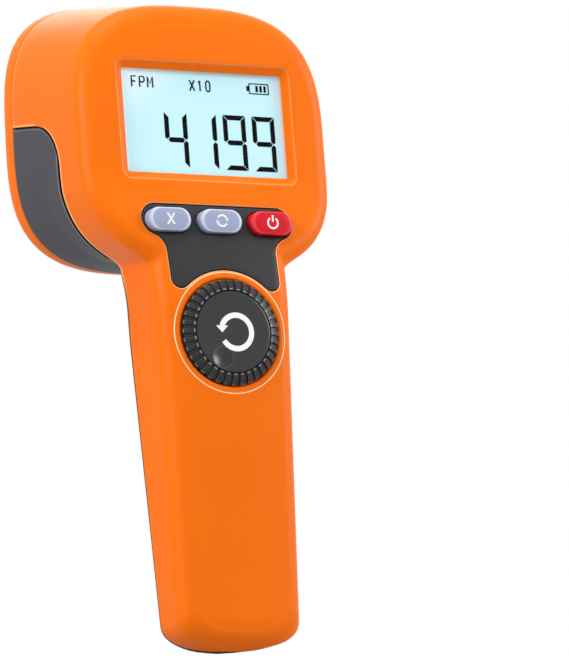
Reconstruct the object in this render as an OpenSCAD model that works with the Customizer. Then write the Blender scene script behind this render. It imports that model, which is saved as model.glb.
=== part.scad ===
// Handheld LED stroboscope: display head on a straight handle.
// X is to the right, Z is up along the handle, and the display faces -Y.
// Depth is counted backwards from the front of the handle at the dial.

/* [Handle] */
// Width of the handle's front at its base
handle_w_base = 40.4; // [38.8:0.2:44]
// Width of the handle's front at the dial
handle_w_dial = 44.7; // [42.7:0.1:48]
// Depth of the handle at its base
handle_d_base = 28.5; // [27:0.5:32]
// Depth of the handle at the dial
handle_d_dial = 38; // [36:0.5:42]
// How much the handle's sides lean out for each millimetre of depth
handle_draft = 0.085; // [0.05:0.005:0.11]
// Radius of the handle's lower corners
base_r = 8.5; // [7:0.5:12]
// Distance from the front of the handle to the middle of its foot
foot_setback = 13.5; // [12.5:0.1:14.5]

/* [Head] */
// Widest width of the head
head_w = 92.4; // [90:0.2:98]
// Distance from the front of the handle to the lamp's rim
head_d = 64; // [62:0.5:68]
// Height of the head's top edge at the display
head_top_front = 207; // [205:0.5:212]
// Height of the head's top edge at the lamp
head_top_rear = 218.5; // [216:0.5:223]
// Height of the head's lower edge at the display
head_low_front = 122.5; // [120:0.5:125]
// Height of the head's lower edge at the lamp
head_low_rear = 129; // [126:0.5:131]
// Squareness of the head's outline at the display
head_power_front = 3.0; // [2.7:0.1:3.6]
// Squareness of the head's outline at the lamp
head_power_rear = 3.3; // [3:0.1:4]
// How much the head's sides lean out for each millimetre of depth
head_draft = 0.05; // [0.02:0.01:0.07]
// Softness of the joint between head and handle
neck_blend = 8; // [4:0.5:9]
// How far the display's face lies behind the handle's front
face_step = 7; // [5:0.5:8]
// Height at which the face starts to fall back
face_step_low = 107.5; // [104:0.5:112]
// Height at which the face has fallen back
face_step_high = 159.5; // [154:0.5:164]
// Angle by which the display leans back
face_tilt = 2.75; // [1.5:0.25:4]
// Crown of the front faces
face_crown = 0.6; // [0.3:0.1:0.8]

/* [Shells] */
// Wall of the shells
wall = 2.4; // [2:0.1:2.6]
// Radius of the front edges
edge_r = 6; // [4:0.5:7]
// Depth of the parting line at the dial
part_d = 22; // [21:0.5:24]
// Depth of the parting line beside the head
part_head_d = 25.6; // [24:0.2:27]
// Height at which the parting line starts to fall back to the head
part_rise_z = 111; // [106:0.5:114]
// Depth of the parting line at the base
part_d_base = 15; // [14:0.5:16.5]
// Height of the step in the parting line on the head's sides
part_step_z = 169; // [165:0.5:175]
// Radius of that step's corner
part_step_r = 14; // [10:0.5:16]
// Gap between pieces of the casing
seam = 0.25; // [0.15:0.05:0.35]

/* [Display] */
// Width of the display's opening
lcd_w = 57; // [52:0.5:60]
// Height of the display's opening
lcd_h = 34; // [30:0.5:35]
// Height of the display's middle
lcd_z = 169; // [167:0.5:171]
// Border of the window behind its opening
lcd_border = 2.4; // [1.5:0.1:2.8]
// Thickness of the window
window_t = 1; // [0.8:0.1:1.5]
// Thickness of the liquid crystal panel
lcd_t = 2.8; // [2:0.1:3.2]
// Thickness of the backlight
backlight_t = 3; // [2:0.1:3.2]
// Wall of the frame that holds the panel
holder_wall = 1.6; // [1.2:0.1:1.8]

/* [Buttons] */
// Width of a button
button_w = 15; // [12:0.5:16]
// Height of a button
button_h = 7.6; // [6:0.2:8]
// Distance between neighbouring buttons
button_pitch = 18.1; // [17.4:0.1:19]
// Height of the row of buttons
button_z = 135.7; // [134.4:0.1:136.9]
// How far a button stands out of the panel
button_proud = 2.8; // [1.6:0.1:3.2]
// Travel of a button
button_travel = 0.8; // [0.4:0.1:1]
// Gap round a button
button_gap = 0.3; // [0.2:0.05:0.5]
// Width of a switch's square body
switch_w = 6.2; // [5.5:0.1:7]
// Thickness of a switch's body
switch_t = 3.5; // [3.3:0.1:4.2]
// Diameter of a switch's plunger
plunger_d = 3.5; // [3:0.1:4]

/* [Control panel] */
// Width of the panel at the buttons
panel_w = 53.2; // [52:0.2:56]
// Width of the panel beside the dial
panel_foot_w = 38.4; // [36:0.2:40]
// Radius of the panel's upper corners
panel_corner_r = 5.2; // [4.9:0.1:5.4]
// Height of the panel's upper edge
panel_top_z = 141.3; // [140.7:0.1:142.9]
// Radius of the panel's lower arc, round the dial
panel_arc_r = 20.3; // [19.6:0.1:21.5]
// Radius of the panel's lower tips
panel_tip_r = 3; // [2:0.1:3.4]
// Radius of the panel's waist
panel_waist_r = 6; // [4:0.5:8]
// Thickness of the panel
panel_t = 0.8; // [0.6:0.1:1]

/* [Dial] */
// Diameter of the dial
dial_d = 33.8; // [30:0.2:35]
// Height of the dial's middle
dial_z = 99.4; // [97:0.1:102]
// Diameter of the dial's flat cap
cap_d = 26.2; // [23:0.2:27]
// Thickness of the cap
cap_t = 1.2; // [1:0.1:1.5]
// How far the dial stands out of the handle
dial_proud = 1.8; // [1.4:0.1:3]
// Gap round the dial
dial_gap = 0.5; // [0.35:0.05:0.8]
// Depth of the well that the dial sits in
well_d = 2.2; // [1.8:0.1:2.6]
// Number of grooves round the dial
flutes = 36; // [24:1:60]
// Depth of a groove
flute_d = 0.7; // [0.4:0.1:0.9]
// Diameter of the finger dimple
dimple_d = 7; // [5:0.2:7.6]
// Depth of the finger dimple
dimple_depth = 0.8; // [0.5:0.1:0.9]
// Diameter of the encoder's shaft
shaft_d = 6; // [5:0.5:6.5]
// Running clearance of the shaft, on the radius
shaft_clear = 0.05; // [0.03:0.01:0.08]
// Width of the encoder's square body
encoder_w = 13; // [11:0.5:14]
// Thickness of the encoder's body
encoder_t = 6.5; // [5:0.5:7]

/* [Lamp] */
// Depth of the lamp's rim piece
bezel_d = 8; // [7:0.5:9]
// Width of the rim round the lens opening
bezel_lip = 9.5; // [9:0.1:10.5]
// Thickness of the rim in front of the lens
bezel_front = 2; // [1.6:0.1:2.4]
// Radius of the rim's outer edge
bezel_r = 3; // [1.5:0.5:3.5]
// Border of the lens behind the rim
lens_border = 2; // [1.4:0.1:2.2]
// Thickness of the lens
lens_t = 2.6; // [2:0.1:3]
// Thickness of the lens gasket
gasket_t = 1; // [0.6:0.1:1.2]
// Number of light emitters side by side
led_cols = 4; // [2:1:4]
// Number of rows of light emitters
led_rows = 3; // [1:1:3]
// Distance between neighbouring light emitters
led_pitch = 17.5; // [17:0.1:17.8]
// Width of a light emitter
led_w = 3.5; // [2.8:0.1:4]
// Height of a light emitter
led_h = 1.8; // [1.2:0.1:2.2]
// Depth of the reflector
reflector_d = 7.8; // [6:0.1:8.5]
// Thickness of the circuit boards
board_t = 1.6; // [1.2:0.1:2]
// Thickness of the heat spreader
spreader_t = 3; // [2:0.5:4]

/* [Battery] */
// Diameter of a cell
cell_d = 18.4; // [16:0.1:18.6]
// Length of a cell
cell_l = 65; // [60:0.5:66]
// Height of the lower end of the cells
cell_z = 17; // [16:0.5:18]
// Length left for the spring at a cell's lower end
spring_l = 3; // [2:0.2:4]
// Wall of the battery tray
tray_wall = 1; // [0.8:0.1:1.2]

/* [Fasteners] */
// Diameter of the case and rim screws
screw_d = 2.6; // [2.2:0.1:3]
// Diameter of their heads
screw_head_d = 5; // [4.4:0.1:5.4]
// Height of their heads
screw_head_t = 2; // [1.6:0.1:2.2]
// Length of the case screws below the head
case_screw_l = 13; // [11:0.5:14]
// Length of the rim screws below the head
bezel_screw_l = 9; // [7:0.5:10]
// Diameter of the circuit board's screws
board_screw_d = 2.2; // [2:0.1:2.5]

/* [Hidden] */
$fn = 48;
boss_sides = 18;
outline_sides = 24;
oval_sides = 56;

// Small allowances shared by the fits
eps = 0.02;
over = 1;
fit = 0.03;
loose = 0.2;
reach = 10;

front_y = -foot_setback;
display_d0 = 8;
base_power = 2.4;
base_ease = 1.08;
rim_straight = 13;
head_draft_end = head_d - rim_straight;
tilt_lead = 20;
face_tilt_low = face_step_high - tilt_lead;
neck_fade = 20;
part_rise_h = 17;
seam_d = head_d - bezel_d;
lamp_z = (head_top_rear + head_low_rear) / 2;
lamp_hw = head_w / 2 - bezel_lip;
lamp_hh = (head_top_rear - head_low_rear) / 2 - bezel_lip;

function smooth(u) = let (v = min(1, max(0, u))) v * v * (3 - 2 * v);
function soft_max(a, b, k) = (a + b + sqrt((a - b) * (a - b) + k * k)) / 2;
function along(a, b, u) = a + (b - a) * u;
function y_at(d) = front_y + d;

// Outline of the head at a depth d, drawn in by e
function head_share(d) = (d - display_d0) / (head_d - display_d0);
function head_top(d) = along(head_top_front, head_top_rear, head_share(d));
function head_low(d) = along(head_low_front, head_low_rear, head_share(d));
function head_mid(d) = (head_top(d) + head_low(d)) / 2;
function head_hh(d, e) = (head_top(d) - head_low(d)) / 2 - e;
function head_hw(d, e) = head_w / 2 - head_draft * max(0, head_draft_end - d) - e;
function head_power(d) = along(head_power_front, head_power_rear, head_share(d));
function head_half(z, d, e) =
    let (u = abs(z - head_mid(d)) / head_hh(d, e), p = head_power(d))
    u >= 1 ? 0 : head_hw(d, e) * pow(1 - pow(u, p), 1 / p);

// Outline of the handle at a depth d, drawn in by e, with its lower corners rounded
function handle_half(z, d, e) =
    let (
        full = along(handle_w_base, handle_w_dial, z / dial_z) / 2 + handle_draft * d - e,
        u = max(0, base_r - z + e) / (base_r * base_ease)
    )
    full * pow(max(0, 1 - pow(u, base_power)), 1 / base_power);

// Half the width of the whole casing: handle, softened neck and head in one curve
function casing_half(z, d, e) =
    let (mid = head_mid(d), a = head_half(z, d, e), b = handle_half(z, d, e))
    z >= mid ? a : soft_max(a, b, neck_blend * min(1, max(0, (mid - z) / neck_fade)));

// Depth of the front face, and of the parting line, at a height z
function face_d(z) =
    face_step * smooth((z - face_step_low) / (face_step_high - face_step_low))
    + tan(face_tilt) * max(0, z - face_tilt_low);
function part_line(z) =
    z > dial_z ? along(part_d, part_head_d, smooth((z - part_rise_z) / part_rise_h))
    : along(part_d_base, part_d, z / dial_z);
function part_end(z) =
    let (low = part_step_z - part_step_r, u = z - low)
    z > part_step_z ? seam_d - seam
    : z <= low ? part_line(z)
    : part_head_d + part_step_r - sqrt(max(0, part_step_r * part_step_r - u * u));
function back_d(z) = along(handle_d_base, handle_d_dial, z / dial_z);

// Heights of the rows that the casing is lofted through, counted at the parting line
row_ref_d = part_d;
row_top = head_top(row_ref_d);
top_start = 20;
top_end = 87;
top_steps = 12;
function top_row(i) =
    let (a = along(top_start, top_end, i / top_steps))
    head_mid(row_ref_d) + head_hh(row_ref_d, 0) * pow(sin(a), 2 / head_power(row_ref_d));
low_steps = 7;
plain_steps = 6;
bend_steps = 3;
neck_steps = 11;
step_steps = 5;
neck_low_z = head_low_front - over;
neck_h = 22;
neck_high_z = neck_low_z + neck_h;
rows = concat(
    [for (i = [0:low_steps]) base_r * (1 - cos(90 * i / low_steps))],
    [for (i = [1:plain_steps]) along(base_r, face_step_low, i / plain_steps)],
    [for (i = [1:bend_steps]) along(face_step_low, neck_low_z - over, i / bend_steps)],
    [for (i = [0:neck_steps]) along(neck_low_z, neck_high_z, i / neck_steps)],
    [for (i = [1:bend_steps]) along(neck_high_z, part_step_z - part_step_r - over, i / bend_steps)],
    [for (i = [0:step_steps]) part_step_z - part_step_r * (1 - sin(90 * i / step_steps))],
    [for (i = [0:top_steps]) let (z = top_row(i)) if (z > part_step_z + over) z]
);
step_rise = 0.1;
step_rows = [for (z = rows) each z == part_step_z ? [z, z + step_rise] : [z]];

// Height of a row at a depth d, drawn in by e
function row_z(row, d, e) = e + (head_top(d) - 2 * e) * row / row_top;

// One ring of the front block: left wall, front edge, face, and the mirror of these
edge_steps = 4;
edge_share = 0.8;
wall_steps = 3;
face_steps = 6;
function front_half_ring(row, e, extra) =
    let (
        z0 = row_z(row, row_ref_d, e),
        front = face_d(z0) + e,
        back = part_end(row) + extra,
        r = min(edge_r, edge_share * (part_end(row) - front)),
        wall_pts = [
            for (i = [0:wall_steps])
                let (d = along(back, front + r, i / wall_steps), z = row_z(row, d, e))
                [-casing_half(z, d, e), y_at(d), z]
        ],
        edge_pts = [
            for (i = [1:edge_steps])
                let (
                    a = 90 * i / edge_steps,
                    d = front + r * (1 - sin(a)),
                    inset = e + r * (1 - cos(a)),
                    z = row_z(row, d, inset)
                )
                [-casing_half(z, d, inset), y_at(d), z]
        ],
        last = edge_pts[edge_steps - 1],
        face_pts = [
            for (i = [1:face_steps / 2])
                let (v = 1 - 2 * i / face_steps)
                [last[0] * v, last[1] - face_crown * (1 - v * v), last[2]]
        ]
    )
    concat(wall_pts, edge_pts, face_pts);
function reversed(pts) = [for (i = [len(pts) - 1:-1:0]) pts[i]];
function front_ring(row, e, extra) =
    let (half = front_half_ring(row, e, extra), n = len(half))
    concat(half, [for (i = [n - 2:-1:0]) [-half[i][0], half[i][1], half[i][2]]]);

// A solid through rings of points that are alike on the left and on the right
module skin(rings) {
    n = len(rings);
    m = len(rings[0]);
    last = (n - 1) * m;
    sides = [
        for (i = [0:n - 2], j = [0:m - 1])
            let (a = i * m + j, b = i * m + (j + 1) % m)
            each [[a, b, b + m], [a, b + m, a + m]]
    ];
    caps = [
        for (j = [0:ceil(m / 2) - 2])
            let (k = m - 1 - j)
            each k - 1 > j + 1
                ? [[j, k, k - 1], [j, k - 1, j + 1], [last + j, last + j + 1, last + k - 1],
                   [last + j, last + k - 1, last + k]]
                : [[j, k, j + 1], [last + j, last + j + 1, last + k]]
    ];
    polyhedron([for (r = rings) each r], concat(sides, caps));
}

// The front of the casing as one block, drawn in by e, its back moved by extra
module front_block(e, extra) {
    skin([for (row = step_rows) reversed(front_ring(row, e, extra))]);
}

// The back of the handle, drawn in by e: an arc from one parting line to the other
arc_steps = 12;
back_steps = 9;
back_low_r = 8;
back_rise = 8;
handle_back_top = head_low_rear + back_rise;
function back_rows(e) = concat(
    [for (i = [0:step_steps]) e + back_low_r * (1 - cos(90 * i / step_steps))],
    [for (i = [1:back_steps]) along(e + back_low_r, handle_back_top, i / back_steps)]
);
function back_ring(z, e, lead) =
    let (
        d0 = part_line(z) + (lead > 0 ? 0 : seam),
        b = handle_half(z, d0, e) - seam,
        drop = max(0, back_low_r + e - z),
        d1 = back_d(z) - e - back_low_r + sqrt(max(0, back_low_r * back_low_r - drop * drop)),
        mid = (b * b + d0 * d0 - d1 * d1) / (2 * (d0 - d1)),
        r = d1 - mid,
        a1 = atan2(b, d0 - mid)
    )
    concat(
        lead > 0 ? [[-b, y_at(d0 - lead), z]] : [],
        [
            for (i = [0:arc_steps])
                let (a = along(-a1, a1, i / arc_steps))
                [r * sin(a), y_at(mid + r * cos(a)), z]
        ],
        lead > 0 ? [[b, y_at(d0 - lead), z]] : []
    );
module handle_back(e, lead) {
    skin([for (z = back_rows(e)) back_ring(z, e, lead)]);
}

// The lower half of the head behind the parting line, drawn in by e
bowl_steps = 9;
function bowl_top(d) =
    let (u = max(0, part_head_d + part_step_r - d))
    row_z(part_step_z - part_step_r + sqrt(max(0, part_step_r * part_step_r - u * u)), d, 0) - seam;
function bowl_ring(d, e, top) =
    let (
        mid = head_mid(d),
        hh = head_hh(d, e),
        hw = head_hw(d, e),
        p = head_power(d),
        t = (top - mid) / hh,
        a0 = asin(sign(t) * pow(abs(t), p / 2)),
        half = [
            for (i = [0:bowl_steps])
                let (a = along(a0, -90, i / bowl_steps), s = sin(a))
                [-hw * pow(abs(cos(a)), 2 / p), y_at(d), mid + hh * sign(s) * pow(abs(s), 2 / p)]
        ]
    )
    concat(half, [for (i = [bowl_steps - 1:-1:0]) [-half[i][0], half[i][1], half[i][2]]]);
bowl_cuts = 8;
room_cuts = 4;
module head_bowl() {
    d0 = part_head_d + seam;
    d1 = seam_d - seam;
    skin([
        for (i = [0:bowl_cuts])
            let (d = along(d0, d1, 1 - cos(90 * i / bowl_cuts)))
            bowl_ring(d, 0, bowl_top(d))
    ]);
}
module head_bowl_room() {
    skin([
        for (i = [0:room_cuts])
            let (d = along(part_head_d - wall - over, seam_d + over, i / room_cuts))
            bowl_ring(d, wall, bowl_top(max(d, part_head_d + seam)) + over)
    ]);
}

// Meshes what it holds into one moulded solid
module moulded() {
    resize([0, 0, 0]) union() children();
}

// A flat slab across the casing, from depth d on, t thick, of a 2D shape in x and z
module slab(d, t) {
    translate([0, y_at(d + t), 0]) rotate([90, 0, 0]) linear_extrude(t) children();
}
// A round bar along the depth, from depth d on
module bar(x, z, d, l, r) {
    translate([x, y_at(d), z]) rotate([-90, 0, 0]) cylinder(r = r, h = l);
}
// A rounded outline like the head's
module oval(hw, hh, p) {
    polygon([
        for (i = [0:oval_sides - 1])
            let (a = 360 * i / oval_sides, c = cos(a), s = sin(a))
            [hw * sign(c) * pow(abs(c), 2 / p), hh * sign(s) * pow(abs(s), 2 / p)]
    ]);
}
module lamp_oval(grow) {
    translate([0, lamp_z]) oval(lamp_hw + grow, lamp_hh + grow, head_power_rear);
}
// A pill shape of the buttons
module pill(grow) {
    r = button_h / 2 + grow;
    run = button_w - button_h;
    translate([-run / 2, 0]) circle(r);
    translate([run / 2, 0]) circle(r);
    square([run, 2 * r], center = true);
}

// Display stack, in a frame that leans back with the face; its depth grows backwards
lcd_seat_d = face_d(lcd_z) - face_crown + wall;
module display_frame() {
    translate([0, y_at(lcd_seat_d), lcd_z]) rotate([-face_tilt, 0, 0]) children();
}
module plate(w, h, t) {
    translate([-w / 2, 0, -h / 2]) cube([w, t, h]);
}
window_w = lcd_w + 2 * lcd_border;
window_h = lcd_h + 2 * lcd_border;
stack_t = window_t + lcd_t + backlight_t;
holder_w = window_w + 2 * (holder_wall + loose);
holder_h = window_h + 2 * (holder_wall + loose);
holder_lip = 1;
holder_frame = 4;
stack_drop = (stack_t + holder_lip) * cos(face_tilt) + holder_h / 2 * sin(face_tilt);
peg_r = 1.2;
peg_inset = 1.5;
peg_x = window_w / 2 - peg_inset;
peg_dz = window_h / 2 - peg_inset;
function peg_d(dz) = lcd_seat_d + (stack_t + holder_lip / 2) * cos(face_tilt) + dz * sin(face_tilt);

// Main board and what stands on it
board_gap = 0.9;
board_d = lcd_seat_d + stack_drop + board_gap;
board_back_d = board_d + board_t;
board_margin = 5;
board_hw = head_w / 2 - wall - board_margin;
board_neck_share = 0.57;
board_neck_hw = board_hw * board_neck_share;
board_top_share = 0.74;
board_top_hw = board_hw * board_top_share;
board_foot = 2.5;
board_low_z = dial_z - encoder_w / 2 - board_foot;
board_neck_drop = 6;
board_neck_z = button_z - board_neck_drop;
board_wide_rise = 12;
board_wide_z = button_z + board_wide_rise;
board_side_rise = 12;
board_side_z = lcd_z + board_side_rise;
tongue_side = 4;
tongue_hw = encoder_w / 2 + tongue_side;
tongue_drop = 12;
tongue_z = button_z - tongue_drop;
boss_gap = 0.8;
board_boss_wall = 1.3;
board_boss_r = board_screw_d / 2 + board_boss_wall;
board_boss_x = 20;
board_boss_dz = holder_h / 2 + board_boss_r + boss_gap;
board_boss_z = [lcd_z - board_boss_dz, lcd_z + board_boss_dz];
board_top_z = board_boss_z[1] + board_boss_r + boss_gap;
board_screw_l = 5;
board_screw_head_t = 1.4;
board_shape = [
    [tongue_hw, board_low_z], [tongue_hw, tongue_z], [board_neck_hw, board_neck_z],
    [board_hw, board_wide_z], [board_hw, board_side_z], [board_top_hw, board_top_z]
];

// Buttons, from the front: cap, flange, stem, plunger
function button_x(i) = (i - 1) * button_pitch;
button_face_d = face_d(button_z) - face_crown;
button_top_d = button_face_d - button_proud;
flange_d = face_d(button_z + button_h) + wall + loose;
flange_t = 1.2;
flange_grow = 1;
switch_floor = 1.3;
switch_room = 0.3;
plunger_out = 1.6;
stem_end_d = board_d - switch_t - button_travel - plunger_out;
plunger_sunk = switch_t - button_travel - switch_floor - switch_room;

// Dial and encoder
well_floor_d = well_d - face_crown;
well_floor_t = 2.2;
well_back_d = well_floor_d + well_floor_t;
well_r = dial_d / 2 + dial_gap;
hub_gap = 0.4;
knob_low_d = well_floor_d - hub_gap;
knob_top_d = -face_crown - dial_proud;
knob_side_d = -face_crown - 0.1;
knob_web = 0.6;
hub_wall = 1.3;
hub_r = shaft_d / 2 + hub_wall;
hub_out = 1.2;
hub_low_d = well_back_d + hub_out;
encoder_d = board_d - encoder_t;
bush_top_d = hub_low_d + hub_gap;
bush_r = shaft_d / 2 + hub_wall;
shaft_top_d = knob_top_d + cap_t + knob_web;
shaft_sunk = 2.5;
shaft_low_d = encoder_d + shaft_sunk;
cap_gap = 0.25;
dial_sides = 96;
flute_l = 8;

// Lamp, counted from the rim forwards
lens_d = head_d - bezel_front - gasket_t - lens_t;
reflector_front_d = lens_d - reflector_d;
led_board_d = reflector_front_d - board_t;
spreader_d = led_board_d - spreader_t;
cup_wall = 0.6;
cup_r = led_pitch / 2 - cup_wall;
cup_neck_gap = 0.5;
cup_neck_r = led_w / sqrt(2) + cup_neck_gap;
led_board_inset = 2;
spreader_inset = 1;
standoff_r = 2.5;
standoff_side = 10;
standoff_x = board_hw - standoff_side;
standoff_low = 20;
standoff_high = 12;
standoff_z = [lamp_z - standoff_low, lamp_z + standoff_high];
screw_sunk = 0.5;
bezel_screw_reach = 0.5 * bezel_lip - 0.4;
bezel_corner = pow(0.5, 1 / head_power_rear);
bezel_screw_x = (head_w / 2 - bezel_screw_reach) * bezel_corner;
bezel_screw_dz = (lamp_hh + bezel_lip - bezel_screw_reach) * bezel_corner;
bezel_head_d = head_d - screw_head_t - screw_sunk;
boss_wall = 1.9;
bezel_boss_r = screw_d / 2 + boss_wall;
bezel_boss_l = bezel_screw_l;
rim_hole_d = bezel_head_d - bezel_screw_l - over;
link_w = 8;
link_h = 4;
link_drop = 22;
link_z = lamp_z - link_drop;

// Battery, in the handle below the dial
cell_gap = 0.4;
cell_x = (cell_d + cell_gap) / 2;
tray_front_d = wall + loose;
tray_floor = 1.2;
cell_mid_d = tray_front_d + tray_floor + (cell_d + cell_gap) / 2;
contact_t = 0.6;
contact_w = 8;
tray_end_d = 6;
tray_low_z = cell_z - spring_l - tray_wall;
cell_top_z = cell_z + cell_l;
tray_top_z = cell_top_z + contact_t + tray_wall;
tray_lip = 4;
tray_back_d = cell_mid_d - tray_lip;
trough_top_z = min(tray_top_z, dial_z - well_r - wall - loose);
rib_hw = 3;
tray_side = 2;
tray_hw = cell_x + tray_side;
tray_end_side = 4.5;
tray_end_hw = cell_x + tray_end_side;
tray_foot_r = 3;
tray_foot_inset = 14;
tray_foot_z = [tray_low_z + tray_foot_inset, trough_top_z - tray_foot_inset];
spring_r = 4;
spring_top_r = 2.6;
spring_hole_r = 1.6;
lead_r = 0.8;
lead_side = 2;
lead_x = cell_x - lead_side;
lead_lap = 6;
door_below = 2;
door_low_z = cell_z - door_below;
door_high_z = tray_top_z - over;
door_hw = 17;
door_behind = 2;
door_front_d = part_line(door_low_z) + door_behind;
clip_hw = 7;
clip_l = 2.5;
clip_t = 1.2;

// Case screws: two beside the neck and one at the handle's lower end
case_boss_r = screw_d / 2 + boss_wall;
head_boss_r = screw_head_d / 2 + loose + wall;
neck_screw_x = tongue_hw + case_boss_r + boss_gap;
neck_screw_up = 19;
neck_screw_z = dial_z + neck_screw_up;
foot_screw_z = 7;
case_floor = 3.4;
case_points = [[-neck_screw_x, neck_screw_z], [neck_screw_x, neck_screw_z], [0, foot_screw_z]];
function case_joint_d(p) = part_line(p[1]) + seam;
function case_head_d(p) = part_line(p[1]) + case_floor;

module display_opening() {
    display_frame() {
        translate([-lcd_w / 2, -reach, -lcd_h / 2]) cube([lcd_w, 2 * reach, lcd_h]);
        depth = wall + over;
        skin_pts = [
            for (s = [0, 1])
                [for (c = [[-1, -1], [-1, 1], [1, 1], [1, -1]])
                    [c[0] * (lcd_w / 2 + s * depth), -s * depth, c[1] * (lcd_h / 2 + s * depth)]]
        ];
        skin(skin_pts);
        plate(window_w + 2 * loose, window_h + 2 * loose, over + stack_t);
    }
}

panel_foot_up = 14;
panel_foot_z = dial_z + panel_foot_up;
module panel_shape() {
    top_z = panel_top_z - panel_corner_r;
    difference() {
        union() {
            hull() for (s = [-1, 1])
                translate([s * (panel_w / 2 - panel_corner_r), top_z]) circle(panel_corner_r);
            translate([-panel_foot_w / 2, panel_foot_z]) square([panel_foot_w, top_z - panel_foot_z]);
        }
        translate([0, dial_z]) circle(panel_arc_r);
    }
}
module panel_outline(grow) {
    $fn = outline_sides;
    offset(r = grow)
        offset(r = panel_tip_r) offset(delta = -panel_tip_r)
        offset(r = -panel_waist_r) offset(delta = panel_waist_r)
        panel_shape();
}

// Screw bosses at the rim: side 1 is the upper pair, -1 the lower pair
module rim_bosses(side) {
    for (s = [-1, 1])
        bar(s * bezel_screw_x, lamp_z + side * bezel_screw_dz, seam_d - bezel_boss_l, bezel_boss_l,
            bezel_boss_r, $fn = boss_sides);
}
module rim_holes(side) {
    for (s = [-1, 1])
        bar(s * bezel_screw_x, lamp_z + side * bezel_screw_dz, rim_hole_d, seam_d + over - rim_hole_d,
            screw_d / 2 + fit);
}
module button_holes() {
    for (i = [0:2]) slab(-reach, 3 * reach) translate([button_x(i), button_z]) pill(button_gap);
}

module front_bosses() {
    $fn = boss_sides;
    for (s = [-1, 1], z = board_boss_z)
        bar(s * board_boss_x, z, face_d(z) + over, board_d - face_d(z) - over, board_boss_r);
    for (p = case_points)
        bar(p[0], p[1], face_d(p[1]) + over, case_joint_d(p) - face_d(p[1]) - over, case_boss_r);
    for (z = tray_foot_z)
        bar(0, z, over, tray_front_d - over, tray_foot_r);
    rim_bosses(1);
    bar(0, dial_z, 0, well_back_d, well_r + wall);
}

module front_shell() {
    color("darkorange") difference() {
        moulded() difference() {
            union() {
                difference() {
                    front_block(0, 0);
                    front_block(wall, wall + over);
                }
                intersection() {
                    front_block(eps, over);
                    front_bosses();
                }
            }
            display_opening();
            intersection() {
                slab(-reach, 3 * reach) panel_outline(loose / 2);
                difference() {
                    front_block(-over, 0);
                    front_block(panel_t, 0);
                }
            }
            button_holes();
        }
        bar(0, dial_z, -reach, reach + well_floor_d, well_r);
        bar(0, dial_z, 0, reach, hub_r + hub_gap);
        for (s = [-1, 1], z = board_boss_z)
            bar(s * board_boss_x, z, board_d - board_screw_l - over, board_screw_l + 2 * over,
                board_screw_d / 2 + fit);
        for (p = case_points)
            bar(p[0], p[1], case_head_d(p) - case_screw_l - over, case_screw_l + reach, screw_d / 2 + fit);
        rim_holes(1);
    }
}

module door_block(grow) {
    translate([-door_hw - grow, y_at(door_front_d), door_low_z - grow])
        cube([2 * (door_hw + grow), handle_d_dial, door_high_z - door_low_z + 2 * grow]);
}

module rear_shell() {
    color("dimgray") moulded() difference() {
        $fn = 2 * boss_sides;
        union() {
            difference() {
                union() {
                    head_bowl();
                    handle_back(0, 0);
                }
                head_bowl_room();
                handle_back(wall, wall + over);
            }
            intersection() {
                handle_back(eps, over);
                for (p = case_points)
                    bar(p[0], p[1], case_joint_d(p), back_d(p[1]), head_boss_r, $fn = boss_sides);
            }
            rim_bosses(-1);
        }
        door_block(seam);
        for (p = case_points) {
            bar(p[0], p[1], case_head_d(p), handle_d_dial, screw_head_d / 2 + loose);
            bar(p[0], p[1], part_line(p[1]), case_floor + over, screw_d / 2 + loose);
        }
        rim_holes(-1);
    }
}

bezel_cuts = 5;
function bezel_steps() = concat(
    [[seam_d, 0]],
    [
        for (i = [0:bezel_cuts])
            let (a = 90 * i / bezel_cuts)
            [head_d - bezel_r + bezel_r * sin(a), bezel_r * (1 - cos(a))]
    ]
);
module bezel_block() {
    skin([
        for (s = bezel_steps())
            let (d = s[0], p = head_power(d), hw = head_hw(d, s[1]), hh = head_hh(d, s[1]))
            [
                for (i = [0:oval_sides - 1])
                    let (a = 90 + 360 * (i + 0.5) / oval_sides, c = cos(a), n = sin(a))
                    [
                        hw * sign(c) * pow(abs(c), 2 / p), y_at(d),
                        head_mid(d) + hh * sign(n) * pow(abs(n), 2 / p)
                    ]
            ]
    ]);
}

module lamp_bezel() {
    color("darkorange") difference() {
        moulded() difference() {
            bezel_block();
            slab(seam_d - over, bezel_d + 2 * over) lamp_oval(0);
            slab(seam_d - over, head_d - bezel_front - seam_d + over) lamp_oval(lens_border + loose);
        }
        for (s = [-1, 1], t = [-1, 1]) {
            bar(s * bezel_screw_x, lamp_z + t * bezel_screw_dz, seam_d - over, bezel_d + 2 * over,
                screw_d / 2 + loose);
            bar(s * bezel_screw_x, lamp_z + t * bezel_screw_dz, bezel_head_d, over + screw_head_t,
                screw_head_d / 2 + loose);
        }
    }
}

// A pan-head screw with a crossed recess, its head towards the back
cross_l = 0.6;
cross_w = 0.14;
cross_floor = 0.45;
module screw(x, z, seat_d, shank_l, d, cap, cap_h) {
    translate([x, y_at(seat_d), z]) rotate([-90, 0, 0]) difference() {
        union() {
            translate([0, 0, -shank_l]) cylinder(d = d, h = shank_l);
            cylinder(d = cap, h = cap_h);
        }
        for (a = [0, 90]) rotate([0, 0, a])
            translate([-cap * cross_l / 2, -cap * cross_w / 2, cap_h * cross_floor])
                cube([cap * cross_l, cap * cross_w, cap_h]);
    }
}

module bezel_screws() {
    color("silver") for (s = [-1, 1], t = [-1, 1])
        screw(s * bezel_screw_x, lamp_z + t * bezel_screw_dz, bezel_head_d, bezel_screw_l,
            screw_d, screw_head_d, screw_head_t);
}

module case_screws() {
    color("silver") for (p = case_points)
        screw(p[0], p[1], case_head_d(p), case_screw_l, screw_d, screw_head_d, screw_head_t);
}

module lamp_lens() {
    color("lightcyan", 0.5) slab(lens_d, lens_t) lamp_oval(lens_border);
}

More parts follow.
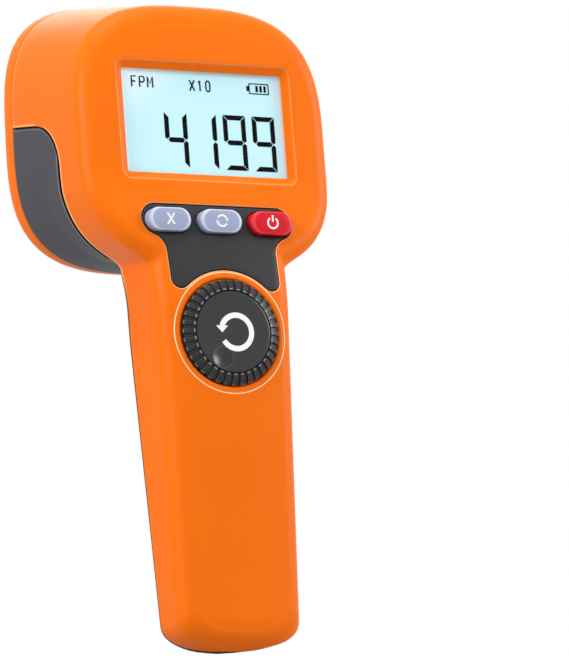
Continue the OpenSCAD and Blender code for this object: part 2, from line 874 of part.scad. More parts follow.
module lens_gasket() {
    color("black") slab(lens_d + lens_t, gasket_t) difference() {
        lamp_oval(lens_border);
        lamp_oval(0);
    }
}

function led_at(i, j) =
    [(i - (led_cols - 1) / 2) * led_pitch, lamp_z + (j - (led_rows - 1) / 2) * led_pitch];

module reflector() {
    color("gainsboro") difference() {
        slab(reflector_front_d, reflector_d) lamp_oval(0);
        for (i = [0:led_cols - 1], j = [0:led_rows - 1])
            let (p = led_at(i, j))
            translate([p[0], y_at(reflector_front_d), p[1]]) rotate([-90, 0, 0]) rotate_extrude()
                polygon([
                    [0, -over], [cup_neck_r, -over], [cup_neck_r, 0],
                    [cup_r, reflector_d], [cup_r, reflector_d + over], [0, reflector_d + over]
                ]);
    }
}

module leds() {
    color("lightyellow") for (i = [0:led_cols - 1], j = [0:led_rows - 1])
        let (p = led_at(i, j))
        translate([p[0] - led_w / 2, y_at(reflector_front_d), p[1] - led_w / 2]) cube([led_w, led_h, led_w]);
}

module led_board() {
    color("whitesmoke") slab(led_board_d, board_t) lamp_oval(-led_board_inset);
}

module heat_spreader() {
    color("lightgray") difference() {
        slab(spreader_d, spreader_t) lamp_oval(-spreader_inset);
        translate([-link_w / 2 - loose, y_at(spreader_d - over), link_z - link_h / 2 - loose])
            cube([link_w + 2 * loose, spreader_t + 2 * over, link_h + 2 * loose]);
    }
}

module lamp_standoffs() {
    color("silver") for (s = [-1, 1], z = standoff_z)
        bar(s * standoff_x, z, board_back_d, spreader_d - board_back_d, standoff_r);
}

module board_link() {
    color("black") translate([-link_w / 2, y_at(board_back_d), link_z - link_h / 2])
        cube([link_w, led_board_d - board_back_d, link_h]);
}

module display_window() {
    color("azure", 0.6) display_frame() plate(window_w, window_h, window_t);
}

module lcd_panel() {
    color("lightblue") display_frame() translate([0, window_t, 0]) plate(window_w, window_h, lcd_t);
}

module lcd_backlight() {
    color("white") display_frame() translate([0, window_t + lcd_t, 0]) plate(window_w, window_h, backlight_t);
}

module lcd_holder() {
    color("ivory") {
        display_frame() difference() {
            translate([0, window_t, 0]) plate(holder_w, holder_h, stack_t - window_t + holder_lip);
            translate([0, -over, 0]) plate(window_w + 2 * fit, window_h + 2 * fit, stack_t + over);
            translate([0, -over, 0])
                plate(window_w - 2 * holder_frame, window_h - 2 * holder_frame, stack_t + 3 * over);
        }
        for (s = [-1, 1], t = [-1, 1])
            bar(s * peg_x, lcd_z + t * peg_dz, peg_d(t * peg_dz), board_d - peg_d(t * peg_dz), peg_r);
    }
}

module control_panel() {
    color("darkslategray") moulded() difference() {
        intersection() {
            slab(-reach, 3 * reach) panel_outline(0);
            difference() {
                front_block(eps, 0);
                front_block(panel_t - eps, 0);
            }
        }
        button_holes();
    }
}

module button(i) {
    translate([button_x(i), 0, 0]) {
        slab(button_top_d, flange_d - button_top_d) translate([0, button_z]) pill(0);
        slab(flange_d, flange_t) translate([0, button_z]) pill(flange_grow);
        bar(0, button_z, flange_d + flange_t, stem_end_d - flange_d - flange_t, plunger_d / 2);
    }
}
module range_button() { color("lightsteelblue") button(0); }
module mode_button() { color("lightsteelblue") button(1); }
module power_button() { color("crimson") button(2); }

module plunger(i) {
    bar(button_x(i), button_z, stem_end_d, board_d - switch_t + plunger_sunk - stem_end_d, plunger_d / 2);
}
module range_plunger() { color("black") plunger(0); }
module mode_plunger() { color("black") plunger(1); }
module power_plunger() { color("black") plunger(2); }

module switch_bodies() {
    color("dimgray") for (i = [0:2]) difference() {
        translate([button_x(i) - switch_w / 2, y_at(board_d - switch_t), button_z - switch_w / 2])
            cube([switch_w, switch_t, switch_w]);
        bar(button_x(i), button_z, board_d - switch_t - over, over + switch_t - switch_floor,
            plunger_d / 2 + shaft_clear);
    }
}

module main_board() {
    color("seagreen") difference() {
        slab(board_d, board_t) polygon(concat(board_shape,
            [for (i = [len(board_shape) - 1:-1:0]) [-board_shape[i][0], board_shape[i][1]]]));
        for (s = [-1, 1], z = board_boss_z)
            bar(s * board_boss_x, z, board_d - over, board_t + 2 * over, board_screw_d / 2 + loose);
    }
}

module board_screws() {
    color("silver") for (s = [-1, 1], z = board_boss_z)
        screw(s * board_boss_x, z, board_back_d, board_t + board_screw_l, board_screw_d, 2 * board_screw_d,
            board_screw_head_t);
}

// Dial: a disc with a sloping, grooved edge, turned about the depth axis
module dial_frame() {
    translate([0, front_y, dial_z]) rotate([90, 0, 0]) children();
}
module dial_knob() {
    rim_r = cap_d / 2 + cap_gap;
    slope = atan2(dial_d / 2 - rim_r, knob_side_d - knob_top_d);
    color("darkslategray") dial_frame() difference() {
        union() {
            rotate_extrude($fn = dial_sides) polygon([
                [0, -knob_low_d], [dial_d / 2, -knob_low_d], [dial_d / 2, -knob_side_d], [rim_r, -knob_top_d],
                [rim_r, -knob_top_d - cap_t], [0, -knob_top_d - cap_t]
            ]);
            translate([0, 0, -hub_low_d]) cylinder(r = hub_r, h = hub_low_d - knob_low_d + eps);
        }
        translate([0, 0, -hub_low_d - over])
            cylinder(r = shaft_d / 2 + fit, h = hub_low_d + over - shaft_top_d + eps);
        for (i = [0:flutes - 1]) rotate([0, 0, 360 * i / flutes])
            translate([dial_d / 2, 0, -knob_side_d]) rotate([0, slope - 90, 0])
                translate([-flute_d, -flute_d, -flute_l / 2]) cube([flute_l, 2 * flute_d, 1.5 * flute_l]);
    }
}

dimple_r = (dimple_d * dimple_d / 4 + dimple_depth * dimple_depth) / (2 * dimple_depth);
dimple_edge = 0.4;
dimple_reach = cap_d / 2 - dimple_d / 2 - dimple_edge;
dimple_angle = 244;
module dial_cap() {
    color("dimgray") dial_frame() difference() {
        translate([0, 0, -knob_top_d - cap_t]) cylinder(d = cap_d, h = cap_t, $fn = dial_sides);
        rotate([0, 0, dimple_angle])
            translate([dimple_reach, 0, -knob_top_d + dimple_r - dimple_depth]) sphere(dimple_r);
    }
}

module encoder_shaft() {
    color("silver") bar(0, dial_z, shaft_top_d, shaft_low_d - shaft_top_d, shaft_d / 2);
}

module encoder_bush() {
    color("goldenrod") difference() {
        bar(0, dial_z, bush_top_d, encoder_d - bush_top_d, bush_r);
        bar(0, dial_z, 0, encoder_d + over, shaft_d / 2 + shaft_clear);
    }
}

module encoder_body() {
    color("dimgray") difference() {
        translate([-encoder_w / 2, y_at(encoder_d), dial_z - encoder_w / 2])
            cube([encoder_w, encoder_t, encoder_w]);
        bar(0, dial_z, encoder_d - over, over + shaft_sunk + loose, shaft_d / 2 + shaft_clear);
    }
}

module tray_slot(x) {
    translate([x, y_at(cell_mid_d), tray_low_z + tray_wall])
        cylinder(d = cell_d + cell_gap, h = tray_top_z - tray_low_z - 2 * tray_wall);
}

module battery_tray() {
    color("black") difference() {
        union() {
            translate([-tray_hw, y_at(tray_front_d), tray_low_z])
                cube([2 * tray_hw, tray_back_d - tray_front_d, trough_top_z - tray_low_z]);
            translate([-rib_hw, y_at(well_back_d + loose), tray_low_z])
                cube([2 * rib_hw, tray_back_d - well_back_d - loose, tray_top_z - tray_low_z]);
            for (z = [tray_low_z, tray_top_z - tray_wall])
                translate([-tray_end_hw, y_at(cell_mid_d - tray_end_d), z])
                    cube([2 * tray_end_hw, 2 * tray_end_d, tray_wall]);
        }
        for (s = [-1, 1]) tray_slot(s * cell_x);
    }
}

module battery_cells() {
    color("royalblue") for (s = [-1, 1])
        translate([s * cell_x, y_at(cell_mid_d), cell_z]) cylinder(d = cell_d, h = cell_l);
}

module battery_springs() {
    color("silver") for (s = [-1, 1])
        translate([s * cell_x, y_at(cell_mid_d), cell_z - spring_l]) difference() {
            cylinder(r1 = spring_r, r2 = spring_top_r, h = spring_l);
            translate([0, 0, -over]) cylinder(r = spring_hole_r, h = spring_l + 2 * over);
        }
}

module battery_contacts() {
    front_d = cell_mid_d - tray_end_d;
    color("silver") for (s = [-1, 1])
        translate([s * cell_x - contact_w / 2, y_at(front_d), cell_top_z])
            cube([contact_w, board_back_d + 2 * lead_r - front_d, contact_t]);
}

module battery_leads() {
    low_z = cell_top_z + contact_t;
    color("firebrick") for (s = [-1, 1])
        translate([s * lead_x, y_at(board_back_d + lead_r), low_z])
            cylinder(r = lead_r, h = board_low_z + lead_lap - low_z);
}

// A layer of the handle's back, from e under the outside on, t thick
module back_layer(e, t) {
    difference() {
        handle_back(e, 0);
        handle_back(e + t, wall + over);
    }
}
// A clip of the door at its edge z: way is the direction in which it grips the casing
module door_clip(z, way) {
    for (c = [[wall + fit, z, 2 * clip_l], [wall - loose, z - way * clip_l / 2, clip_l]])
        intersection() {
            back_layer(c[0], wall + clip_t - c[0]);
            translate([-clip_hw, y_at(door_front_d), c[1] - c[2] / 2])
                cube([2 * clip_hw, handle_d_dial, c[2]]);
        }
}
module battery_door() {
    color("dimgray") moulded() {
        difference() {
            intersection() {
                handle_back(0, 0);
                door_block(0);
            }
            handle_back(wall, wall + over);
        }
        door_clip(door_low_z, -1);
        door_clip(door_high_z, 1);
    }
}

front_shell();
rear_shell();
lamp_bezel();
bezel_screws();
case_screws();
lamp_lens();
lens_gasket();
reflector();
leds();
led_board();
heat_spreader();
lamp_standoffs();
board_link();
display_window();
lcd_panel();
lcd_backlight();
lcd_holder();
control_panel();
range_button();
mode_button();
power_button();
range_plunger();
mode_plunger();
power_plunger();
switch_bodies();
main_board();
board_screws();
dial_knob();
dial_cap();
encoder_shaft();
encoder_bush();
encoder_body();
battery_tray();
battery_cells();
battery_springs();
battery_contacts();
battery_leads();
battery_door();
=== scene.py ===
import math
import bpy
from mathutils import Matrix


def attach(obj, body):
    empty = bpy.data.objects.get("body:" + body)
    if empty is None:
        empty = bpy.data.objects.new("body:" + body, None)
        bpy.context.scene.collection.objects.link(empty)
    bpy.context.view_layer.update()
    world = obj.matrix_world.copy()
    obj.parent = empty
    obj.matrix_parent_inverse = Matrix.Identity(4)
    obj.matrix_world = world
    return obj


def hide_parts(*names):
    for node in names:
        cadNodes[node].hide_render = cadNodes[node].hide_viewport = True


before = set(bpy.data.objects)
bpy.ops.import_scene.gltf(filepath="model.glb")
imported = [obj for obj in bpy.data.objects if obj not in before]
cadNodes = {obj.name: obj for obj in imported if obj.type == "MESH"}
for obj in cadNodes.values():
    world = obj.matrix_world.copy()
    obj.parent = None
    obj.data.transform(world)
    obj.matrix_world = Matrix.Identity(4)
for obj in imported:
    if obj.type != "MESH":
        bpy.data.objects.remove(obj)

from types import SimpleNamespace

import bmesh
import bpy
import numpy as np
from mathutils import Matrix, Vector
from mathutils.geometry import delaunay_2d_cdt

mm = 0.001
turn, quarter = 2 * math.pi, math.pi / 2
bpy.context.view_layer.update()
print("frame:", len(cadNodes), "nodes")


# sizes of the casing in mm; depth is counted back from the flat of the handle's face
casing = {
    "frontY": -13.5, "dialZ": 99.4, "edgeRound": 6.0, "crown": 0.6, "crownFade": 12.0,
    "headWide": 92.4, "headDeep": 64.0, "headDraft": 0.05, "draftEnd": 51.0, "displayDepth": 8.0,
    "topFront": 207.0, "topRear": 218.5, "lowFront": 122.5, "lowRear": 129.0,
    "powerFront": 3.0, "powerRear": 3.3, "neckBlend": 8.0, "neckFade": 20.0,
    "baseWide": 40.4, "dialWide": 44.7, "baseDeep": 28.5, "dialDeep": 38.0, "handleDraft": 0.085,
    "baseRound": 8.5, "baseEase": 1.005, "basePower": 2.4, "backRound": 8.0, "backTop": 137.0,
    "backFill": 0.35, "fillFade": 2.5, "stepDeep": 7.0, "stepLow": 107.5, "stepHigh": 159.5,
    "lean": math.radians(2.75), "leanLow": 139.5, "partBase": 15.0, "partDeep": 22.0, "partHead": 25.6,
    "riseLow": 111.0, "riseHigh": 128.0, "stepZ": 169.0, "stepRound": 14.0, "seam": 0.25, "rimDepth": 56.0,
    "wall": 1.2, "groove": 0.5, "tongueIn": 1.35, "tongueOut": 1.2, "swellDeep": 12.0, "swellFade": 6.0,
    "wearFade": 16.0,
}
case = SimpleNamespace(**casing)
# the rolled edge along a joint: how far in and how far back from it, and the painted shade (below 0) and
# painted highlight (above 0) on it
lipIn = np.array([0.35, 0.1, 0.0, 0.0, 0.0, 0.0])
lipBack = np.array([0.0, 0.1, 0.22, 0.45, 0.85, 1.4])
lipPaintedLight = np.array([-1.0, -1.0, -0.7, 0.9, 0.7, 0.0])
handlePaintedShade = np.array([-1.0, -1.0, -1.0, -0.8, 0.0, 0.0])


def blendTo(a, b, u):
    return a + (b - a) * u


# from 0 to 1 with an eased start and end
def smoothStep(u):
    v = np.clip(u, 0, 1)
    return v * v * (3 - 2 * v)


# the head's outline at a depth, drawn in by an inset: a superellipse that grows towards the lamp
def headShare(d):
    return (d - case.displayDepth) / (case.headDeep - case.displayDepth)


def headTop(d):
    return blendTo(case.topFront, case.topRear, headShare(d))


def headLow(d):
    return blendTo(case.lowFront, case.lowRear, headShare(d))


def headMid(d):
    return (headTop(d) + headLow(d)) / 2


def headTall(d, inset):
    return (headTop(d) - headLow(d)) / 2 - inset


def headWide(d, inset):
    return case.headWide / 2 - case.headDraft * np.maximum(0, case.draftEnd - d) - inset


def headPower(d):
    return blendTo(case.powerFront, case.powerRear, headShare(d))


def headHalf(z, d, inset):
    p = headPower(d)
    u = np.clip(np.abs(z - headMid(d)) / headTall(d, inset), 0, 1)
    return headWide(d, inset) * (1 - u ** p) ** (1 / p)


# half the handle's width: it tapers to the foot, whose corners are rounded by a power curve
def handleHalf(z, d, inset):
    full = blendTo(case.baseWide, case.dialWide, z / case.dialZ) / 2 + case.handleDraft * d - inset
    u = np.maximum(0, case.baseRound - z + inset) / (case.baseRound * case.baseEase)
    return full * np.maximum(0, 1 - u ** case.basePower) ** (1 / case.basePower)


# head and handle in one line: the softened larger of the two below the head's middle
def casingHalf(z, d, inset):
    mid = headMid(d)
    a, b = headHalf(z, d, inset), handleHalf(z, d, inset)
    k = case.neckBlend * np.clip((mid - z) / case.neckFade, 0, 1)
    return np.where(z >= mid, a, (a + b + np.sqrt((a - b) ** 2 + k * k)) / 2)


# depth of the face's flat: it steps back between handle and head, and leans above that
def faceAt(z):
    step = case.stepDeep * smoothStep((z - case.stepLow) / (case.stepHigh - case.stepLow))
    return step + math.tan(case.lean) * np.maximum(0, z - case.leanLow)


# the parting line up the handle: a straight slope to the dial, then an S to the head's own depth
def partLine(z):
    rise = smoothStep((z - case.riseLow) / (case.riseHigh - case.riseLow))
    beside = blendTo(case.partDeep, case.partHead, rise)
    return np.where(z > case.dialZ, beside, blendTo(case.partBase, case.partDeep, z / case.dialZ))


# the same line with its end: a quarter turn back to the step under the head's side
def partEnd(z):
    low = case.stepZ - case.stepRound
    u = np.clip(z - low, 0, case.stepRound)
    curve = case.partHead + case.stepRound - np.sqrt(case.stepRound ** 2 - u * u)
    return np.where(z <= low, partLine(z), curve)


rowTop = headTop(case.partDeep)


# height of a row at a depth: rows are spread between the foot and the head's sloping top
def rowHeight(row, d, inset):
    return inset + (headTop(d) - 2 * inset) * row / rowTop


# depth of the front at x and z: the angle round the front edge is halved until the outline there is x wide
def faceDepth(x, z):
    x, z = np.abs(np.asarray(x, float)), np.asarray(z, float)
    r = case.edgeRound
    limit = np.where(z < r, np.arccos(np.clip(1 - z / r, -1, 1)), quarter)

    def around(a):
        inset = r * (1 - np.cos(a))
        back = r * (1 - np.sin(a))
        d = faceAt(z) + back
        for again in range(2):
            d = faceAt((z - inset) * rowTop / (headTop(d) - 2 * inset)) + back
        return d, casingHalf(z, d, inset)

    low, high = np.zeros_like(z), limit.copy()
    for again in range(30):
        a = (low + high) / 2
        wider = around(a)[1] > x
        low, high = np.where(wider, a, low), np.where(wider, high, a)
    depth = around(low)[0]
    flat, half = around(limit)
    crown = case.crown * np.clip(1 - (x / np.maximum(half, 1e-6)) ** 2, 0, 1)
    crown = crown * smoothStep(half / case.crownFade) * np.sin(limit) ** 2
    return np.where(x <= half, flat - crown, depth)


# the handle's back at a height: where its arc starts, half its width, and the arc's middle and radius
def backArc(z):
    d0 = partLine(z) + case.seam
    half = handleHalf(z, d0, 0) - case.seam
    drop = np.maximum(0, case.backRound - z)
    d1 = blendTo(case.baseDeep, case.dialDeep, z / case.dialZ) - case.backRound
    d1 = d1 + np.sqrt(np.maximum(0, case.backRound ** 2 - drop * drop))
    mid = (half * half + d0 * d0 - d1 * d1) / (2 * (d0 - d1))
    return d0, half, mid, d1 - mid


# depth of that back at x and z: the arc, filled out a little towards an ellipse to leave the line square
def backDepth(x, z):
    d0, half, mid, r = backArc(z)
    arc = mid + np.sqrt(np.maximum(r * r - x * x, 0))
    full = d0 + (mid + r - d0) * np.sqrt(np.clip(1 - (x / np.maximum(half, 1e-6)) ** 2, 0, 1))
    return blendTo(full, arc, (1 - case.backFill) * smoothStep(z / case.fillFade))


# points in space from x, a depth and a height
def solid(x, d, z):
    x, d, z = np.broadcast_arrays(x, d, z)
    return np.stack([x, case.frontY + d, z], -1)


# flat points laid on a surface, which is a depth or a function of x and z, and moved in by a drop
def laid(flat, surface, drop=0.0):
    x, z = flat.T
    return solid(x, (surface(x, z) if callable(surface) else surface) + drop, z)


# every x with every z of two arrays that spread over each other
def flatPoints(x, z):
    return np.stack(np.broadcast_arrays(x, z), -1).reshape(-1, 2)


# a grid of points as quads, closed round in either direction when asked
def gridFaces(points, closeU=False, closeV=False):
    m, n = points.shape[:2]
    i = np.arange(m if closeU else m - 1)[:, None]
    j = np.arange(n if closeV else n - 1)[None, :]
    up, right = (i + 1) % m, (j + 1) % n
    faces = np.stack(np.broadcast_arrays(i * n + j, i * n + right, up * n + right, up * n + j), -1)
    return points.reshape(-1, 3), faces.reshape(-1, 4).tolist()


# a wall and its mirror image, with its painted shade and highlight
def bothSides(half, depth, height, wear):
    return [gridFaces(solid(side * half, depth, height)) + (wear.ravel(),) for side in (-1, 1)]


# loops of as many points each, joined one to the next as a collar
def collar(loops, edges=None):
    points, faces = gridFaces(np.stack(loops), closeV=True)
    return points, faces, np.repeat(np.zeros(len(loops)) if edges is None else edges, len(loops[0]))


# a collar from steps of grow and drop: each loop lies on a surface and goes into it by the drop
def sunkCollar(steps, loopAt, surface, way=1, edges=None):
    return collar([laid(loopAt(grow), surface, way * drop) for grow, drop in steps], edges)


# one face over a loop
def fan(loop):
    return loop, [list(range(len(loop)))]


# a point is inside when a line to its right crosses the loop an odd number of times
def insideLoop(points, loop):
    a, b = loop, np.roll(loop, -1, 0)
    x, z = points[:, :1], points[:, 1:]
    cross = (a[:, 1] > z) != (b[:, 1] > z)
    run = np.where(b[:, 1] == a[:, 1], 1, b[:, 1] - a[:, 1])
    return (cross & (x < (b[:, 0] - a[:, 0]) * (z - a[:, 1]) / run + a[:, 0])).sum(1) % 2 == 1


# distance of points from the nearest side of a loop
def loopDistance(points, loop):
    run = np.roll(loop, -1, 0) - loop
    reach = points[:, None] - loop[None]
    u = np.clip((reach * run).sum(-1) / np.maximum((run * run).sum(-1), 1e-12), 0, 1)
    return np.linalg.norm(reach - u[..., None] * run, axis=-1).min(1)


# flat Delaunay fill, in x and z, of an outline with holes; loose points too near a border are dropped
def fillSheet(outline, holes, loose, gap):
    loops = [outline] + holes

    def within(points):
        inside = insideLoop(points, outline)
        for hole in holes:
            inside &= ~insideLoop(points, hole)
        return inside

    keep = within(loose)
    edges, start = [], 0
    for loop in loops:
        keep &= loopDistance(loose, loop) > gap
        steps = np.arange(len(loop))
        edges += (start + np.stack([steps, (steps + 1) % len(loop)], 1)).tolist()
        start += len(loop)
    points = np.concatenate(loops + [loose[keep]])
    verts, _, faces = delaunay_2d_cdt([Vector(p) for p in points], edges, [], 0, 1e-7)[:3]
    flat, faces = np.array([v[:] for v in verts]), np.array(faces)
    return flat, faces[within(flat[faces].mean(1))].tolist()


# rows of points, every second one shifted by half a pitch
def staggered(x0, x1, z0, z1, pitch):
    x, z = np.meshgrid(np.arange(x0, x1, pitch), np.arange(z0, z1, pitch * 0.866))
    x[1::2] += pitch / 2
    return np.stack([x.ravel(), z.ravel()], 1)


# points along an arc from one angle to another, in degrees
def arc(x, z, r, a0, a1, count):
    a = np.radians(np.linspace(a0, a1, count))
    return np.stack([x + r * np.cos(a), z + r * np.sin(a)], 1)


def circle(x, z, r, count):
    a = np.arange(count) / count * turn
    return np.stack([x + r * np.cos(a), z + r * np.sin(a)], 1)


# a rounded rectangle: four quarter turns, with steps along the straight sides
def roundedBox(halfWide, halfTall, r, corner=8, side=14):
    turns = []
    for k in range(4):
        a = np.linspace(k, k + 1, corner) * quarter
        cx = (halfWide - r) * (1 if k in (0, 3) else -1)
        cz = (halfTall - r) * (1 if k < 2 else -1)
        turns.append(np.stack([cx + r * np.cos(a), cz + r * np.sin(a)], 1))
    u = np.linspace(0, 1, side + 2)[1:-1, None]
    loop = []
    for k in range(4):
        loop += [turns[k], blendTo(turns[k][-1], turns[(k + 1) % 4][0], u)]
    return np.concatenate(loop)


# a stroke of varying width along a path, with a flat top and closed ends; place() puts it in space
def ribbon(path, width, low, high, place):
    path = np.asarray(path, float)
    width = np.broadcast_to(np.asarray(width, float), len(path))
    run = np.gradient(path, axis=0)
    run = run / np.maximum(np.linalg.norm(run, axis=1, keepdims=True), 1e-9)
    side = np.stack([-run[:, 1], run[:, 0]], 1)
    path, side = [np.concatenate([line[:1], line, line[-1:]]) for line in (path, side)]
    reach = side * np.concatenate([[0], width, [0]])[:, None] / 2
    corners = ((path + reach, low), (path + reach, high), (path - reach, high), (path - reach, low))
    return gridFaces(np.stack([place(*line.T, lift) for line, lift in corners], 1), closeV=True)


# a flat plate with straight sides over an outline
def plate(outline, low, high, place):
    outline = np.asarray(outline, float)
    n = len(outline)
    points = np.concatenate([place(*outline.T, lift) for lift in (low, high)])
    sides = [[i, (i + 1) % n, n + (i + 1) % n, n + i] for i in range(n)]
    return points, sides + [list(range(n))[::-1], list(range(n, 2 * n))]


# in mm: points this near are merged, edges this short are dropped
joining = {"merge": 0.004, "dissolve": 0.002}


# puts parts of one piece together, merges what meets, turns the faces outwards, hangs it on its body and
# hides the solids it replaces
def makePiece(name, parts, finish, body, nodes=(), wall=0.0, sharp=35, middle=None):
    verts, faces, edges, start = [], [], [], 0
    for points, quads, *edge in parts:
        verts.append(points)
        edges.append(edge[0] if edge else np.zeros(len(points)))
        faces += [[start + i for i in face] for face in quads]
        start += len(points)
    verts = np.concatenate(verts) * mm
    mesh = bpy.data.meshes.new(name)
    mesh.from_pydata(verts.tolist(), [], faces)
    # the edge attribute holds painted shade below 0 and painted highlight above 0
    mesh.attributes.new("edge", "FLOAT", "POINT").data.foreach_set("value", np.concatenate(edges))
    work = bmesh.new()
    work.from_mesh(mesh)
    bmesh.ops.remove_doubles(work, verts=work.verts, dist=joining["merge"] * mm)
    bmesh.ops.dissolve_degenerate(work, edges=work.edges, dist=joining["dissolve"] * mm)
    bmesh.ops.recalc_face_normals(work, faces=work.faces)
    inside = Vector(verts.mean(0) if middle is None else np.array(middle) * mm)
    left = set(work.faces)
    while left:  # each connected patch on its own
        near = [left.pop()]
        for face in near:
            more = {other for edge in face.edges for other in edge.link_faces} & left
            left -= more
            near += more
        if sum((face.calc_center_median() - inside).dot(face.normal) * face.calc_area() for face in near) < 0:
            bmesh.ops.reverse_faces(work, faces=near)
    work.to_mesh(mesh)
    work.free()
    piece = bpy.data.objects.new(name, mesh)
    bpy.context.scene.collection.objects.link(piece)
    if wall:
        thicken = piece.modifiers.new("wall", "SOLIDIFY")
        thicken.thickness, thicken.offset, thicken.use_even_offset = wall * mm, -1, False
        bpy.context.view_layer.update()
        thick = piece.evaluated_get(bpy.context.evaluated_depsgraph_get())
        piece.data = bpy.data.meshes.new_from_object(thick)
        piece.data.name = name
        piece.modifiers.clear()
        bpy.data.meshes.remove(mesh)
        mesh = piece.data
    mesh.polygons.foreach_set("use_smooth", np.ones(len(mesh.polygons), bool))
    mesh.set_sharp_from_angle(angle=math.radians(sharp))
    mesh.materials.clear()
    mesh.materials.append(finishes[finish])
    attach(piece, body)
    if nodes:
        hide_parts(*nodes)
    return piece


# wraps one socket: operators on it add Math nodes, node() adds any other node, also() takes a further output
class Wire:
    def __init__(self, tree, socket=None):
        self.tree, self.socket = tree, socket

    def node(self, kind, settings=None, inputs=None, out=0):
        made = self.tree.nodes.new(kind)
        for key, value in (settings or {}).items():
            setattr(made, key, value)
        for key, value in (inputs or {}).items():
            if isinstance(value, Wire):
                self.tree.links.new(value.socket, made.inputs[key])
            else:
                made.inputs[key].default_value = value
        return Wire(self.tree, made.outputs[out] if len(made.outputs) else None)

    def also(self, name):
        return Wire(self.tree, self.socket.node.outputs[name])

    def maths(self, operation, *values):
        return self.node("ShaderNodeMath", {"operation": operation}, dict(enumerate(values)))

    def __add__(self, other):
        return self.maths("ADD", self, other)

    def __sub__(self, other):
        return self.maths("SUBTRACT", self, other)

    def __rsub__(self, other):
        return self.maths("SUBTRACT", other, self)

    def __mul__(self, other):
        return self.maths("MULTIPLY", self, other)

    __radd__, __rmul__ = __add__, __mul__

    # two colours mixed by a value
    def between(self, first, second):
        return self.node("ShaderNodeMix", {"data_type": "RGBA"}, {0: self, 6: first, 7: second}, out=2)

    # 0 below low, 1 above high
    def rise(self, low, high):
        settings = {"interpolation_type": "SMOOTHSTEP"}
        return self.node("ShaderNodeMapRange", settings, {0: self, 1: low, 2: high})

    def noise(self, scale, detail, rough=0.5):
        inputs = {"Vector": self, "Scale": scale, "Detail": detail, "Roughness": rough}
        return self.node("ShaderNodeTexNoise", None, inputs)


# a new material, and its Object coordinates to start from
def newFinish(name):
    material = bpy.data.materials.new(name)
    material.use_nodes = True
    material.node_tree.nodes.clear()
    return material, Wire(material.node_tree).node("ShaderNodeTexCoord", out="Object")


def outFinish(shader):
    shader.node("ShaderNodeOutputMaterial", None, {"Surface": shader})


# a colour as it shows on screen, turned into light
def tint(*shown):
    v = np.array(shown) / 255
    light = np.where(v <= 0.04045, v / 12.92, ((v + 0.055) / 1.055) ** 2.4)
    return tuple(light.tolist()) + (1.0,)


# a colour made lighter or darker
def scaled(colour, share):
    return tuple(min(1.0, v * share) for v in colour[:3]) + (1.0,)


# moulded plastic: slow clouds and a fine grain shift the tone and the gloss, and the grain stands up a bit;
# where a piece's edge attribute is above 0 a paler highlight is painted, and below 0 a dark shade is painted
# into the joint
def mouldedFinish(name, colour, rough=0.42, tone=0.06, grain=1500, stand=0.03, shine=0.3,
                  paintedHighlight=None, paintedShade=None):
    material, place = newFinish(name)
    cloud, speck = place.noise(24, 3, 0.55), place.noise(grain, 2)
    mask = cloud * 0.75 + speck * 0.25
    paint = mask.rise(0.3, 0.7).between(scaled(colour, 1 - tone), scaled(colour, 1 + tone))
    bump = place.node("ShaderNodeBump", None, {"Height": speck, "Strength": 0.35, "Distance": stand * mm})
    edge = place.node("ShaderNodeAttribute", {"attribute_name": "edge"}, out="Fac")
    # painted highlight where the edge attribute is above 0, painted shade where it is below 0
    if paintedHighlight:
        paint = (edge * (0.7 + cloud * 0.6)).rise(0.05, 1.0).between(paint, paintedHighlight)
    if paintedShade:
        paint = (edge * -1.0).rise(0.2, 0.8).between(paint, paintedShade)
    inputs = {
        "Base Color": paint, "Roughness": rough - 0.1 + cloud * 0.14 + speck * 0.06, "Normal": bump,
        "Specular IOR Level": shine}
    outFinish(place.node("ShaderNodeBsdfPrincipled", None, inputs))
    return material


# bare or plated metal: fine streaks along one axis roughen it
def metalFinish(name, colour, rough=0.3, stretch=(1, 1, 14), grain=700, tone=0.18):
    material, place = newFinish(name)
    drawn = place.node("ShaderNodeMapping", None, {"Vector": place, "Scale": stretch})
    streak = drawn.noise(grain, 3, 0.6)
    paint = streak.rise(0.3, 0.7).between(scaled(colour, 1 - tone), scaled(colour, 1 + tone / 2))
    bump = place.node("ShaderNodeBump", None, {"Height": streak, "Strength": 0.25, "Distance": 0.02 * mm})
    inputs = {"Base Color": paint, "Metallic": 1.0, "Roughness": rough - 0.1 + streak * 0.2, "Normal": bump}
    outFinish(place.node("ShaderNodeBsdfPrincipled", None, inputs))
    return material


# a clear pane: see-through but for a mirror gloss that grows at grazing angles, with faint smears
def paneFinish(name, colour, gloss=0.3, rough=0.04):
    material, place = newFinish(name)
    smear = place.noise(90, 4, 0.6)
    graze = place.node("ShaderNodeFresnel", None, {"IOR": 1.45})
    paint = smear.between(scaled(colour, 0.9), colour)
    inputs = {"Base Color": paint, "Metallic": 1.0, "Roughness": rough + smear * 0.05}
    shine = place.node("ShaderNodeBsdfPrincipled", None, inputs)
    clear = place.node("ShaderNodeBsdfTransparent", None, {"Color": (1, 1, 1, 1)})
    outFinish(place.node("ShaderNodeMixShader", None, {0: graze * gloss, 1: clear, 2: shine}))
    return material


# printed marks: nearly flat colour, thinner where the ink took less
def inkFinish(name, colour, rough=0.55, tone=0.05, shine=0.1):
    return mouldedFinish(name, colour, rough, tone, grain=2600, stand=0.01, shine=shine)
